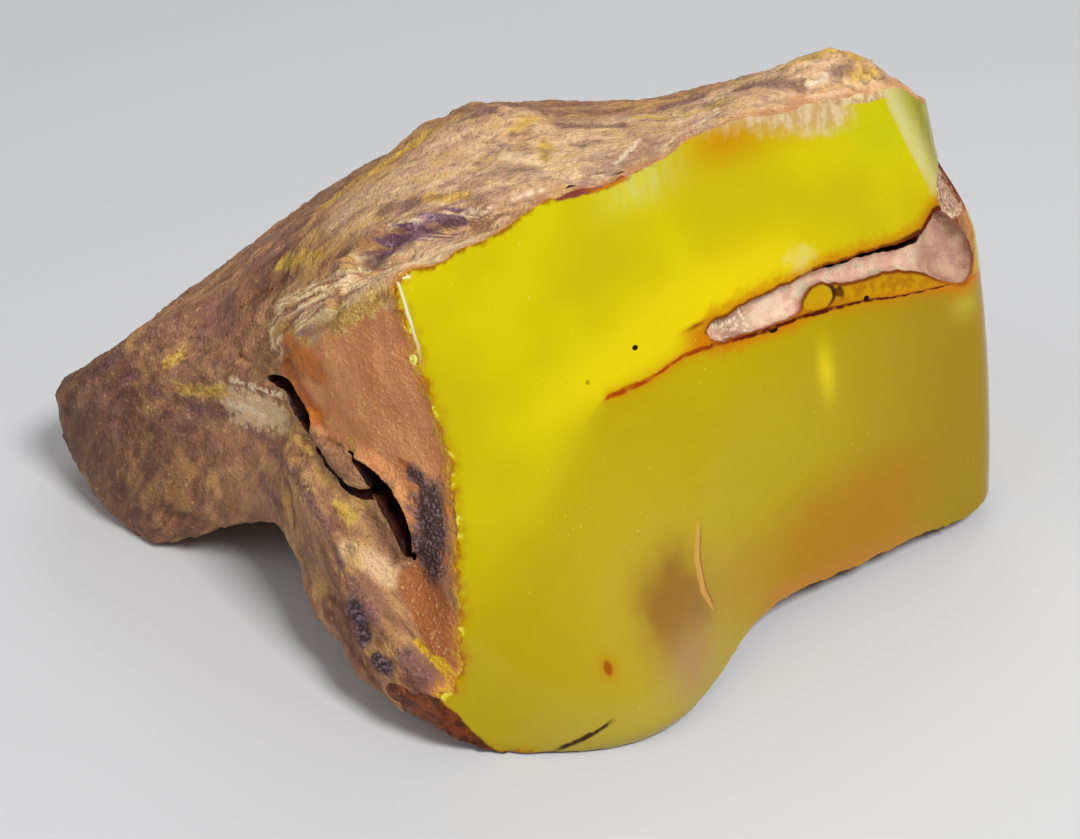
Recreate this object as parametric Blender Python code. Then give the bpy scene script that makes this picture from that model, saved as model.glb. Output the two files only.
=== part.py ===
"""A chunk of raw amber: one solid lump with a rough weathered rind, a ground and polished
window on its front right, and an open crack that runs into that window from the right.

Metres, +Z up, the origin on the ground under the middle of the bounding box.
Run with: blender --background --python part.py"""

import math

import bmesh
import bpy
import numpy as np
from mathutils import Vector, noise

MM = 0.001
NAME = "raw_amber"

# The lump as sections across X, in millimetres. Each section runs once round the lump:
# front foot, lower front, upper front, front ridge, crown, back brink, back shoulder,
# back, heel and sole, as (y, z). The tail is at -X, the window's right edge at +X.
SECTIONS = [
    (-47.1, [(10, 4), (9.5, 6.5), (9, 9), (9.2, 11), (11.5, 11.2),
             (14.5, 10), (16.5, 8.5), (17, 7), (15.5, 4.2), (12.5, 3.2)]),
    (-43.0, [(4.8, 1.6), (4.0, 6), (4.6, 11), (5.8, 14.2), (9.3, 14.8),
             (13.5, 13), (17.5, 11), (20, 7.5), (19, 1.5), (11, 0)]),
    (-36.5, [(-1.6, -0.3), (-2.4, 7), (-0.4, 13), (1.6, 17.2), (6.3, 20.6),
             (12.5, 18.8), (20, 15.5), (23.5, 9.5), (22, -0.3), (10, -0.8)]),
    (-29.5, [(-4.4, 3.6), (-5.8, 9), (-4.6, 16), (-2.4, 20.8), (3.5, 25),
             (11.5, 24.6), (21, 20.5), (26, 12.5), (24.5, -0.5), (10, 3)]),
    (-23.0, [(-9.2, 8), (-11.4, 14), (-9.6, 21), (-6.8, 27), (2, 30.8),
             (11, 29.6), (22, 25.5), (28, 16), (26, -0.6), (8, 6)]),
    (-19.0, [(-18.5, 5.5), (-17.4, 13), (-14, 23), (-12.4, 31), (0, 34.9),
             (10.5, 32.8), (23, 27.6), (29, 17.5), (27, -0.6), (5, 6)]),
    (-14.5, [(-26, 4), (-23.4, 12), (-18.2, 25), (-16, 36), (-2, 38.6),
             (9.5, 36.4), (23, 30), (29.4, 19), (28, -0.6), (1, 4.5)]),
    (-9.5, [(-29.8, 3), (-27, 10), (-22.2, 25), (-20, 39.8), (-5, 41.2),
             (7.5, 40.4), (21.6, 34.2), (29.8, 20), (29, -0.6), (-2, 3)]),
    (-5.0, [(-31.8, 1.4), (-30.2, 10), (-26.2, 25), (-23.5, 40.8), (-7, 42.2),
             (7, 42.3), (21, 37), (30, 20.5), (29.5, -0.6), (-4, 2)]),
    (0.5, [(-40, -0.6), (-38, 9), (-34, 25), (-24, 42), (-9, 43.2),
             (6.5, 43), (20.2, 37.8), (30, 21.5), (29.8, -0.6), (-5, 1.6)]),
    (7.5, [(-41, -1), (-39, 9), (-30, 26), (-18, 43), (-6, 43.8),
             (6, 43), (19.8, 38), (30.2, 23), (30, -0.6), (-5, 2)]),
    (17.5, [(-35, 0.8), (-32, 10), (-22, 26), (-11, 45), (-0.6, 45.8),
             (7, 44.4), (20, 39.6), (30.4, 25), (30, -0.4), (-1, 2.4)]),
    (28.5, [(-23, 2.4), (-22, 10), (-15, 26), (-3, 42.8), (6, 44.6),
             (11.6, 46.6), (20.5, 42.2), (30, 26), (29, 0), (3, 2.6)]),
    (35.5, [(-16, 2.8), (-16, 10), (-10, 26), (0, 41), (9.8, 43.1),
             (14, 42.8), (22, 39.2), (29.6, 25), (28, 0.4), (6, 1.8)]),
    (42.0, [(-9, 2.2), (-9, 10), (-5, 26), (4, 34.5), (11, 37),
             (16, 36.6), (22, 32.5), (26.6, 20), (25, 0.8), (8, 1.2)]),
    (47.0, [(-4, 2.8), (-5, 8), (-3, 18), (3, 24.5), (10, 26.5),
             (15, 25.5), (20, 22), (22.6, 13), (20.6, 2.4), (9, 1.6)]),
    (50.0, [(3, 4), (2, 8), (3.5, 14), (6.5, 17.6), (10, 18.8),
             (13.5, 18), (16.8, 15), (18, 10), (16.4, 4.6), (10, 2.6)]),
]
STEPS_ALONG = 7
STEPS_AROUND = 12
CRISP = 0.45  # 0 rounds the lump between its section points, 1 keeps it faceted
KEPT_SHARE = 0.33  # of the loft's triangles, after thinning

# Relief on the rind, in millimetres: a path on the skin, its half width and its height.
RIDGES = {
    "fold_beside_window": ([(-22.2, -7.4, 28), (-16.5, -13.2, 34.4), (-10, -18.8, 39.8)], 1.7, 1.1),
    "shelf_over_hollow": ([(-13.5, -10.5, 39), (-8.5, -11.5, 41.5), (-2, -9.8, 43),
                           (3.5, -9.4, 43.7)], 1.8, 0.9),
    "tail_brow": ([(-34, 1.6, 19), (-30.3, -2.1, 20.1), (-27.1, -4.9, 21.5),
                   (-20.7, -11.7, 23.8)], 2.0, 1.0),
    "leg_front": ([(-19.9, -14.5, 18.2), (-17, -18.9, 15.9), (-13.3, -24.5, 11.3),
                   (-8.9, -29.7, 6.7)], 2.8, 1.2),
    "crown_bump": ([(-7, 7.5, 42.4), (-3, 8.5, 43.6)], 4.5, 0.9),
    "peak": ([(27, 11, 47), (32, 12.5, 45.5)], 4.0, 0.7),
    "crown_knuckle": ([(-9, 21, 35.5), (-4.5, 21, 37.3)], 3.2, 1.1),
    "back_lobe": ([(-8, 29, 16), (8, 31, 18)], 8.0, 1.3),
    "right_rib": ([(44, 6, 30), (47, 14, 22), (47.5, 18, 10)], 2.6, 0.9),
}
FURROWS = {
    "crevice": ([(-24.5, -6.5, 27), (-22, -9.3, 25.7), (-20.2, -12.5, 23.3), (-17.1, -17, 21),
                 (-13.1, -20.6, 21), (-10.7, -23.7, 17.7), (-9, -26.5, 13)], 2.2, 1.3),
    "purple_hollow": ([(-12.5, -14.8, 39.4), (-8.6, -14.2, 41), (-4.5, -13.2, 42.4)], 2.0, 1.2),
    "under_tail_brow": ([(-33, 0.2, 16), (-28, -4.6, 18), (-22.5, -10.6, 19.5)], 2.2, 0.7),
    "crown_saddle": ([(5, 8, 44.8), (14, 8, 46)], 4.0, 0.7),
    "back_seam": ([(-30, 22, 14), (-14, 28, 21), (4, 29.5, 29), (22, 28.5, 31), (36, 26, 28)],
                  2.4, 1.2),
    "back_hollow": ([(16, 31, 14), (26, 30.5, 12)], 7.0, 1.8),
    "tail_hollow": ([(-36, 19, 14), (-28, 22.5, 17)], 5.0, 1.2),
}
LUMP_WAVE = 13.0
LUMP_HEIGHT = 0.6
KNOB_WAVE = 5.0
KNOB_HEIGHT = 0.2
CREASE_WAVE = 9.0
CREASE_DEPTH = 0.45
CREASE_SHARPNESS = 5.0
CREASE_SHIFT = Vector((7, 3, 5))  # so that the creases don't follow the lumps

# The polished window: a plane through WINDOW_MM that faces WINDOW_NORMAL, bulged by a formula.
WINDOW_MM = Vector((15.5, -9.0, 22.0))
WINDOW_NORMAL = Vector((0.52, -0.80, 0.30)).normalized()
WINDOW_RIGHT = Vector((-WINDOW_NORMAL.y, WINDOW_NORMAL.x, 0)).normalized()
WINDOW_UP = WINDOW_NORMAL.cross(WINDOW_RIGHT)
WINDOW_REACH = 52.0
WINDOW_CELL = 2.2
FORM_THICKNESS = 110.0
# The bulge, in millimetres right and up in the window: a low dome, a toe at its lower left,
# and how fast the right and bottom edges roll away.
DOME_MIDDLE = (2.0, 2.0)
DOME_HEIGHT = 4.0
DOME_FALL = (1.6 / 30 ** 2, 2.5 / 24 ** 2)
TOE_MIDDLE = (-15.0, -26.0)
TOE_HEIGHT = 8.6
TOE_SPREAD = (12.5, 17.0)
RIGHT_ROLL_FROM = 31.2
RIGHT_ROLL = 0.15
UPPER_LOBE = (6.0, 16.0, 3.5)  # above 6 the right edge moves in, by 3.5 from 16 up
BOTTOM_ROLL_FROM = -23.5
BOTTOM_ROLL = 0.30

# The open crack: right and up in the window, half its width, and its depth.
CRACK = [
    (-0.8, 6.6, 0.5, 0.5), (0.6, 6.8, 1.0, 1.0), (4.0, 7.3, 1.3, 1.3), (7.5, 7.6, 1.3, 1.4),
    (10.5, 8.0, 1.0, 1.3), (14.1, 8.3, 0.8, 1.3), (18.9, 7.8, 0.75, 1.4), (23.3, 7.2, 0.9, 1.7),
    (26.0, 7.1, 1.5, 2.2), (28.0, 7.4, 3.2, 2.7), (29.5, 8.0, 4.8, 3.1), (31.0, 8.3, 5.4, 3.4),
    (32.5, 8.3, 5.0, 3.4), (33.8, 8.5, 3.4, 3.0),
]
CRACK_MOUTH = 3.0  # how far the cutter stands out of the window

# Gaps in the rind beside the window: points, each with half the gap's width, and the
# direction and depth in which the gap goes.
GAPS = {
    "upper_gap": ([(-22.2, -9.2, 25.9, 0.35), (-21.2, -10.8, 24.8, 0.9),
                   (-20.2, -12.6, 23.4, 0.75), (-19.1, -14.2, 22.3, 0.3)],
                  (0.90, 0.42, -0.08), 5.0),
    "lower_gap": ([(-15.0, -18.8, 22.3, 0.3), (-13.1, -20.6, 21.3, 0.8),
                   (-11.8, -22.2, 19.6, 1.25), (-10.7, -23.7, 17.6, 1.3),
                   (-9.9, -24.7, 16.1, 0.4)], (0.62, 0.76, -0.18), 6.0),
    "spall_gap": ([(-18.3, -15.1, 22.2, 0.25), (-17.2, -16.9, 20.9, 0.45),
                   (-15.9, -18.7, 20.0, 0.5), (-14.0, -20.7, 19.9, 0.3)],
                  (0.75, 0.62, 0.22), 2.6),
}
GAP_MOUTH = 2.0

GROUND_DEPTH = 20.0
GROUND_SIDE = 200.0


def spline(points, steps, closed):
    """Points on a curve through the given rows: between straight runs and a Catmull-Rom."""
    points = np.asarray(points, float)
    count = len(points)
    t = (np.arange(steps) / steps)[:, None]
    rows = []
    for i in range(count if closed else count - 1):
        if closed:
            p0, p1, p2, p3 = (points[(i + k) % count] for k in (-1, 0, 1, 2))
        else:
            p1, p2 = points[i], points[i + 1]
            p0 = points[i - 1] if i else 2 * p1 - p2
            p3 = points[i + 2] if i + 2 < count else 2 * p2 - p1
        smooth = 0.5 * (2 * p1 + (p2 - p0) * t + (2 * p0 - 5 * p1 + 4 * p2 - p3) * t ** 2
                        + (3 * p1 - p0 - 3 * p2 + p3) * t ** 3)
        rows.append((1 - CRISP) * smooth + CRISP * (p1 + (p2 - p1) * t))
    rows = np.concatenate(rows)
    return rows if closed else np.concatenate([rows, points[-1:]])


def loft(rings):
    """A closed skin through the rings, in millimetres, with a fan at each end."""
    bm = bmesh.new()
    rows = [[bm.verts.new(point) for point in ring] for ring in rings]
    around = len(rows[0])
    for low, high in zip(rows, rows[1:]):
        for i in range(around):
            j = (i + 1) % around
            bm.faces.new((low[i], low[j], high[j], high[i]))
    for ring in (rows[0], rows[-1]):
        tip = bm.verts.new(sum((v.co for v in ring), Vector()) / around)
        for i in range(around):
            bm.faces.new((ring[i], ring[(i + 1) % around], tip))
    bmesh.ops.recalc_face_normals(bm, faces=bm.faces)
    return bm


def to_mesh(bm, name):
    """The mesh in metres."""
    bmesh.ops.scale(bm, vec=(MM, MM, MM), verts=bm.verts)
    mesh = bpy.data.meshes.new(name)
    bm.to_mesh(mesh)
    bm.free()
    return mesh


def nearness(points, path, half_width):
    """1 on the path, falling smoothly to 0 at about twice the half width from it."""
    nearest = np.full(len(points), np.inf)
    for start, end in zip(path, path[1:]):
        start, run = np.array(start), np.array(end) - np.array(start)
        share = np.clip((points - start) @ run / (run @ run), 0, 1)
        nearest = np.minimum(nearest, np.linalg.norm(points - start - share[:, None] * run, axis=1))
    return np.exp(-(nearest / half_width) ** 2)


def rind_relief(points):
    """How far the rind stands out at each point: ridges, furrows, lumps, knobs and creases."""
    height = np.zeros(len(points))
    for path, half_width, rise in RIDGES.values():
        height += rise * nearness(points, path, half_width)
    for path, half_width, drop in FURROWS.values():
        height -= drop * nearness(points, path, half_width)
    for i, point in enumerate(points):
        at = Vector(point)
        fold = abs(noise.noise(at / CREASE_WAVE + CREASE_SHIFT))
        crease = max(0.0, 1 - CREASE_SHARPNESS * fold)
        height[i] += (LUMP_HEIGHT * noise.noise(at / LUMP_WAVE)
                      + KNOB_HEIGHT * noise.noise(at / KNOB_WAVE) - CREASE_DEPTH * crease ** 2)
    return height


def lump_mesh():
    """The unpolished lump: one skin through all the sections, with the rind's relief."""
    rings = []
    for x, section in SECTIONS:
        ring = spline(section, STEPS_AROUND, closed=True)
        rings.append(np.column_stack([np.full(len(ring), x), ring]).ravel())
    rings = spline(rings, STEPS_ALONG, closed=False)
    bm = loft(rings.reshape(len(rings), -1, 3))
    bm.normal_update()
    relief = rind_relief(np.array([v.co for v in bm.verts]))
    for v, height in zip(bm.verts, relief):
        v.co += v.normal * height
    return to_mesh(bm, NAME)


def smoothstep(value):
    value = min(max(value, 0.0), 1.0)
    return value * value * (3 - 2 * value)


def window_bulge(right, up):
    """How far the polished window stands out of its plane."""
    lobe_from, lobe_to, lobe = UPPER_LOBE
    rolls_from = RIGHT_ROLL_FROM - lobe * smoothstep((up - lobe_from) / (lobe_to - lobe_from))
    bulge = DOME_HEIGHT - DOME_FALL[0] * (right - DOME_MIDDLE[0]) ** 2
    bulge -= DOME_FALL[1] * (up - DOME_MIDDLE[1]) ** 2
    toe = ((right - TOE_MIDDLE[0]) / TOE_SPREAD[0]) ** 2 + ((up - TOE_MIDDLE[1]) / TOE_SPREAD[1]) ** 2
    bulge += TOE_HEIGHT * math.exp(-toe)
    bulge -= RIGHT_ROLL * max(right - rolls_from, 0) ** 2
    bulge -= BOTTOM_ROLL * max(BOTTOM_ROLL_FROM - up, 0) ** 2
    return bulge


def window_point(right, up, out):
    """A point near the window, out millimetres in front of its polished surface."""
    out += window_bulge(right, up)
    return WINDOW_MM + WINDOW_RIGHT * right + WINDOW_UP * up + WINDOW_NORMAL * out


def polishing_form():
    """A block whose curved front is the surface that the lump was ground back to."""
    cells = round(2 * WINDOW_REACH / WINDOW_CELL)
    bm = bmesh.new()
    bmesh.ops.create_grid(bm, x_segments=cells, y_segments=cells, size=WINDOW_REACH)
    for v in bm.verts:
        v.co = window_point(v.co.x, v.co.y, 0)
    back = bmesh.ops.extrude_face_region(bm, geom=bm.faces[:])["geom"]
    for v in back:
        if isinstance(v, bmesh.types.BMVert):
            v.co -= WINDOW_NORMAL * FORM_THICKNESS
    bmesh.ops.recalc_face_normals(bm, faces=bm.faces)
    return to_mesh(bm, "polishing_form")


def crack_form():
    """A band that widens to the right, open in front and rounded at its floor."""
    rings = []
    for right, up, half, depth in spline(CRACK, 3, closed=False):
        rings.append([window_point(right, up - half, CRACK_MOUTH),
                      window_point(right, up + half, CRACK_MOUTH),
                      window_point(right, up + 1.15 * half, -0.5 * depth),
                      window_point(right, up + 0.5 * half, -depth),
                      window_point(right, up - 0.5 * half, -depth),
                      window_point(right, up - half, -0.4 * depth)])
    return to_mesh(loft(rings), "crack_form")


def gap_form(name, points, inward, depth):
    """A curved wedge that narrows inwards, for a gap in the rind."""
    inward = Vector(inward).normalized()
    rows = spline(points, 3, closed=False)
    rings = []
    for i, (x, y, z, half) in enumerate(rows):
        before, after = rows[max(i - 1, 0)], rows[min(i + 1, len(rows) - 1)]
        side = Vector(after[:3] - before[:3]).cross(inward).normalized()
        at = Vector((x, y, z))
        rings.append([at + side * half - inward * GAP_MOUTH, at + side * half + inward * 0.5 * depth,
                      at + side * 0.3 * half + inward * depth,
                      at - side * 0.3 * half + inward * depth,
                      at - side * half + inward * 0.5 * depth, at - side * half - inward * GAP_MOUTH])
    return to_mesh(loft(rings), name)


def ground_form():
    """Everything under the ground: it leaves the flat spots that the lump rests on."""
    bm = bmesh.new()
    bmesh.ops.create_cube(bm, size=1)
    bmesh.ops.scale(bm, vec=(GROUND_SIDE, GROUND_SIDE, GROUND_DEPTH), verts=bm.verts)
    bmesh.ops.translate(bm, vec=(0, 0, -GROUND_DEPTH / 2), verts=bm.verts)
    return to_mesh(bm, "ground_form")


def material(name, color, roughness):
    made = bpy.data.materials.new(name)
    made.use_nodes = True
    shader = made.node_tree.nodes["Principled BSDF"]
    shader.inputs["Base Color"].default_value = (*color, 1)
    shader.inputs["Roughness"].default_value = roughness
    made.diffuse_color = (*color, 1)
    return made


def add_object(mesh, collection, mat):
    made = bpy.data.objects.new(mesh.name, mesh)
    collection.objects.link(made)
    mesh.materials.append(mat)
    return made


def cut(lump, mesh, operation, cutters, mat):
    """Cuts the lump with a form, whose material the cut takes."""
    form = add_object(mesh, cutters, mat)
    form.hide_render = True
    form.display_type = "WIRE"
    boolean = lump.modifiers.new(form.name, "BOOLEAN")
    boolean.object = form
    boolean.operation = operation
    boolean.solver = "EXACT"
    boolean.material_mode = "TRANSFER"


def main():
    for old in list(bpy.data.objects):
        bpy.data.objects.remove(old, do_unlink=True)
    parts = bpy.data.collections.new(NAME)
    cutters = bpy.data.collections.new("cutters")
    for collection in (parts, cutters):
        bpy.context.scene.collection.children.link(collection)
    rind = material("weathered_rind", (0.27, 0.16, 0.09), 0.85)
    amber = material("polished_amber", (0.62, 0.52, 0.01), 0.12)
    pink_rind = material("pink_rind", (0.60, 0.42, 0.32), 0.80)
    dark_rind = material("dark_rind", (0.05, 0.02, 0.01), 0.70)

    lump = add_object(lump_mesh(), parts, rind)
    lump.modifiers.new("thinning", "DECIMATE").ratio = KEPT_SHARE
    cut(lump, polishing_form(), "INTERSECT", cutters, amber)
    cut(lump, crack_form(), "DIFFERENCE", cutters, pink_rind)
    for name, (points, inward, depth) in GAPS.items():
        cut(lump, gap_form(name, points, inward, depth), "DIFFERENCE", cutters, dark_rind)
    cut(lump, ground_form(), "DIFFERENCE", cutters, rind)


main()
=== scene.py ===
"""The looks of a chunk of raw amber: a rough weathered rind, one ground and polished window,
and an open crack lined with pink rind that runs into the window from the right.

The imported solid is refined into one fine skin, its rind gets folds, fibres, ledges and pits,
and the window, the crack and the gaps beside it are cut again in full detail. Lengths are in
millimetres unless a name ends in _M; +Z is up and the window faces -Y and +X."""

import math

import bmesh
import bpy
import numpy as np
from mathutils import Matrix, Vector, kdtree, noise


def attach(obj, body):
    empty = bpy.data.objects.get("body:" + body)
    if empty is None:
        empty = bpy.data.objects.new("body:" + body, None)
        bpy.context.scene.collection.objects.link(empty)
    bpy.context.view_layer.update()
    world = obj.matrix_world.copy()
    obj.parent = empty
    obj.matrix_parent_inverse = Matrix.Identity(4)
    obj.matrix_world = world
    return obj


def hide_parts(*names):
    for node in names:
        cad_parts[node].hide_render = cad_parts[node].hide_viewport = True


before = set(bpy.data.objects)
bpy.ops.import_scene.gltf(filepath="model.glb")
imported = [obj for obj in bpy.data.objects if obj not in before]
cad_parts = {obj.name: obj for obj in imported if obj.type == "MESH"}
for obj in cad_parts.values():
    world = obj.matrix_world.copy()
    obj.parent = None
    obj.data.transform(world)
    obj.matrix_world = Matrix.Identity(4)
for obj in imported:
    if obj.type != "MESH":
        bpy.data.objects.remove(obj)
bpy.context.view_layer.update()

MM = 0.001
NODE = "raw_amber"
SKIN_CELL = 0.44
SKIN_SMOOTHING = 10
SHARP_ANGLE = math.radians(42)


def unit(*way):
    """A direction as an array of length 1."""
    return np.array(Vector(way).normalized())


# The polished window: a plane through WINDOW_MM that faces WINDOW_NORMAL, bulged by a formula.
WINDOW_MM = np.array((15.5, -9.0, 22.0))
WINDOW_NORMAL = unit(0.52, -0.80, 0.30)
WINDOW_RIGHT = unit(-WINDOW_NORMAL[1], WINDOW_NORMAL[0], 0)
WINDOW_UP = np.cross(WINDOW_NORMAL, WINDOW_RIGHT)
DOME_MIDDLE = (2.0, 2.0)
DOME_HEIGHT = 4.0
DOME_FALL = (1.6 / 30 ** 2, 2.5 / 24 ** 2)
TOE_MIDDLE = (-15.0, -26.0)
TOE_HEIGHT = 8.6
TOE_SPREAD = (12.5, 17.0)
RIGHT_ROLL_FROM = 31.2
RIGHT_ROLL = 0.15
UPPER_LOBE = (6.0, 16.0, 3.5)
BOTTOM_ROLL_FROM = -23.5
BOTTOM_ROLL = 0.30
WINDOW_REACH = 48.0
WINDOW_CELL = 0.6
FORM_THICKNESS = 110.0
HAND_POLISH = (0.05, 10.0)  # depth and width of the low waves that polishing by hand leaves

SPARE = 0.9  # how far the skin stands out of the window before it is cut back
SPARE_REACH = 0.4

# The open crack, station by station: the lower and the upper edge of its pink floor as right
# and up in the window, how far the lip of amber stands above that, and the depth of the floor.
CRACK = [
    (0.1, 6.3, -0.2, 7.4, 0.06, 0.5), (1.2, 5.9, 0.9, 7.9, 0.08, 0.9),
    (2.9, 5.9, 2.7, 8.1, 0.08, 1.0), (4.8, 5.9, 4.5, 8.5, 0.10, 1.0),
    (6.8, 5.8, 6.2, 8.6, 0.12, 1.1), (8.6, 5.9, 7.9, 8.7, 0.15, 1.1),
    (10.1, 6.2, 9.5, 8.8, 0.18, 1.1), (10.7, 7.2, 10.7, 8.9, 0.20, 1.0),
    (11.6, 7.9, 11.7, 9.0, 0.28, 1.0), (13.1, 8.0, 13.1, 9.0, 0.35, 1.1),
    (15.0, 7.4, 15.1, 8.9, 0.40, 1.1), (17.4, 7.0, 17.5, 8.8, 0.45, 1.2),
    (19.5, 7.0, 19.7, 8.6, 0.55, 1.3), (21.8, 6.7, 22.1, 8.3, 0.70, 1.4),
    (24.1, 6.0, 24.3, 8.0, 0.95, 1.6), (26.0, 5.1, 26.0, 8.0, 1.20, 2.0),
    (27.5, 4.1, 27.1, 8.3, 1.50, 2.3), (29.0, 3.4, 28.0, 8.9, 1.50, 2.5),
    (30.5, 3.0, 28.9, 9.8, 0.80, 2.5), (31.5, 3.4, 29.9, 9.8, 0.12, 2.2),
    (32.1, 4.5, 30.9, 8.7, 0.05, 1.7), (32.4, 5.4, 31.9, 7.3, 0.05, 1.0),
]
CRACK_STEPS = 7
CRACK_FLOOR = [(0.0, -0.12), (0.03, -0.45), (0.08, -0.75), (0.16, -0.93), (0.27, -1.0), (0.40, -1.04),
               (0.53, -1.03), (0.66, -1.0), (0.79, -0.97), (0.90, -0.90), (0.98, -0.80)]
GRAINS_END = (2.8, 4.6)  # the floor is granular to the left of this
OUTLINE_WANDER = 0.16
MOUTH = 1.2
LIP_GROOVE = 1.5
# The upper lip overhangs a groove to the left of UNDERCUT_END, and slopes to the right of it:
# beyond the floor as a share of the rise, depth, and share of the groove, then the same two where
# it slopes.
LIP = [(0.15, 0.85, 1.0, 0.05, 0.80), (0.90, 0.80, 1.0, 0.30, 0.60), (1.35, 0.75, 0.4, 0.60, 0.42),
       (1.25, 0.40, 0.0, 0.85, 0.24), (1.04, 0.12, 0.0, 0.98, 0.10)]
UNDERCUT_END = (25.5, 27.6)

# Crusted strip on the right of the crack's flare: left edge, right edge, up, and depth.
STRIP = [(29.9, 33.6, 9.2, 0.5), (29.0, 34.0, 10.2, 0.9), (28.6, 34.0, 11.6, 1.0),
         (28.8, 34.0, 13.0, 0.8), (29.6, 33.6, 14.2, 0.4), (30.6, 33.0, 14.9, 0.1)]

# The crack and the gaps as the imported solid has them, which are filled before they are cut
# again: right, up, half width and depth, or points with the half width.
PACKED_CRACK = [
    (-0.8, 6.6, 0.5, 0.5), (0.6, 6.8, 1.0, 1.0), (4.0, 7.3, 1.3, 1.3), (7.5, 7.6, 1.3, 1.4),
    (10.5, 8.0, 1.0, 1.3), (14.1, 8.3, 0.8, 1.3), (18.9, 7.8, 0.75, 1.4), (23.3, 7.2, 0.9, 1.7),
    (26.0, 7.1, 1.5, 2.2), (28.0, 7.4, 3.2, 2.7), (29.5, 8.0, 4.8, 3.1), (31.0, 8.3, 5.4, 3.4),
    (32.5, 8.3, 5.0, 3.4), (33.8, 8.5, 3.4, 3.0),
]
PACKED_GAPS = [
    ([(-22.2, -9.2, 25.9, 0.35), (-21.2, -10.8, 24.8, 0.9), (-20.2, -12.6, 23.4, 0.75),
      (-19.1, -14.2, 22.3, 0.3)], (0.90, 0.42, -0.08), 5.0),
    ([(-15.0, -18.8, 22.3, 0.3), (-13.1, -20.6, 21.3, 0.8), (-11.8, -22.2, 19.6, 1.25),
      (-10.7, -23.7, 17.6, 1.3), (-9.9, -24.7, 16.1, 0.4)], (0.62, 0.76, -0.18), 6.0),
    ([(-18.3, -15.1, 22.2, 0.25), (-17.2, -16.9, 20.9, 0.45), (-15.9, -18.7, 20.0, 0.5),
      (-14.0, -20.7, 19.9, 0.3)], (0.75, 0.62, 0.22), 2.6),
]
FILL = 0.7  # how much wider and deeper than a crack or gap its filling is

# Gaps in the rind: points, each with half the gap's width, the direction in which the gap goes,
# and how deep.
GAPS = {
    "upper_gap": ([(-23.0, -7.8, 23.9, 0.12), (-22.1, -9.3, 24.4, 0.50), (-21.3, -10.8, 24.9, 0.75),
                   (-20.9, -11.5, 24.7, 0.95), (-20.4, -12.3, 24.1, 1.10), (-19.8, -13.2, 23.4, 1.00),
                   (-19.2, -13.9, 22.6, 0.65), (-18.9, -14.2, 21.8, 0.12)],
                  (0.90, 0.42, -0.08), 5.0),
    "lower_gap": ([(-15.3, -17.6, 22.3, 0.1), (-14.5, -18.7, 22.2, 0.25), (-13.6, -19.9, 21.9, 0.5),
                   (-12.7, -21.0, 21.1, 0.9), (-11.9, -21.8, 20.3, 1.1), (-11.2, -22.6, 19.4, 1.15),
                   (-10.6, -23.4, 18.4, 1.05), (-10.2, -24.0, 17.4, 0.85), (-9.9, -24.3, 16.3, 0.5),
                   (-9.8, -24.3, 15.2, 0.1)], (0.62, 0.76, -0.18), 6.0),
    "flake_gap": ([(-18.9, -14.3, 21.3, 0.12), (-18.1, -15.3, 20.6, 0.24), (-17.1, -17.0, 20.2, 0.36),
                   (-16.2, -18.3, 19.9, 0.46), (-15.1, -19.3, 19.6, 0.52), (-14.0, -20.1, 19.6, 0.55),
                   (-13.0, -21.0, 20.0, 0.5)], (0.75, 0.62, 0.22), 2.2),
}
# A thin parting between the rind and the amber at the top border, given in the window.
LIP_PARTING = [(-12.3, 22.8, 0.05), (-11.0, 22.75, 0.12), (-9.8, 22.8, 0.15), (-7.1, 22.75, 0.15),
               (-5.3, 22.7, 0.10), (-4.6, 22.7, 0.04)]
LIP_PARTING_DEPTH = 0.9


def smoothstep(value, start=0.0, end=1.0):
    share = np.clip((value - start) / (end - start), 0, 1)
    return share * share * (3 - 2 * share)


def window_bulge(right, up):
    """How far the polished window stands out of its plane."""
    lobe_from, lobe_to, lobe = UPPER_LOBE
    rolls_from = RIGHT_ROLL_FROM - lobe * smoothstep(up, lobe_from, lobe_to)
    bulge = DOME_HEIGHT - DOME_FALL[0] * (right - DOME_MIDDLE[0]) ** 2
    bulge = bulge - DOME_FALL[1] * (up - DOME_MIDDLE[1]) ** 2
    toe = ((right - TOE_MIDDLE[0]) / TOE_SPREAD[0]) ** 2 + ((up - TOE_MIDDLE[1]) / TOE_SPREAD[1]) ** 2
    bulge = bulge + TOE_HEIGHT * np.exp(-toe)
    bulge = bulge - RIGHT_ROLL * np.maximum(right - rolls_from, 0) ** 2
    return bulge - BOTTOM_ROLL * np.maximum(BOTTOM_ROLL_FROM - up, 0) ** 2


def window_coords(points):
    """How far right and up in the window points are, and how far out of its surface."""
    offset = points - WINDOW_MM
    right = offset @ WINDOW_RIGHT
    up = offset @ WINDOW_UP
    return right, up, offset @ WINDOW_NORMAL - window_bulge(right, up)


def window_points(right, up, out):
    """Points at these places in the window, out millimetres in front of its surface."""
    right, up, out = np.broadcast_arrays(*(np.asarray(v, float) for v in (right, up, out)))
    out = out + window_bulge(right, up)
    places = right[..., None] * WINDOW_RIGHT + up[..., None] * WINDOW_UP
    return WINDOW_MM + places + out[..., None] * WINDOW_NORMAL


def spline(rows, steps):
    """A Catmull-Rom curve through the rows."""
    rows = np.asarray(rows, float)
    padded = np.concatenate([[2 * rows[0] - rows[1]], rows, [2 * rows[-1] - rows[-2]]])
    t = (np.arange(steps) / steps)[:, None]
    curve = []
    for p0, p1, p2, p3 in zip(padded, padded[1:], padded[2:], padded[3:]):
        curve.append(0.5 * (2 * p1 + (p2 - p0) * t + (2 * p0 - 5 * p1 + 4 * p2 - p3) * t ** 2
                            + (3 * p1 - p0 - 3 * p2 + p3) * t ** 3))
    return np.concatenate(curve + [rows[-1:]])


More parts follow.
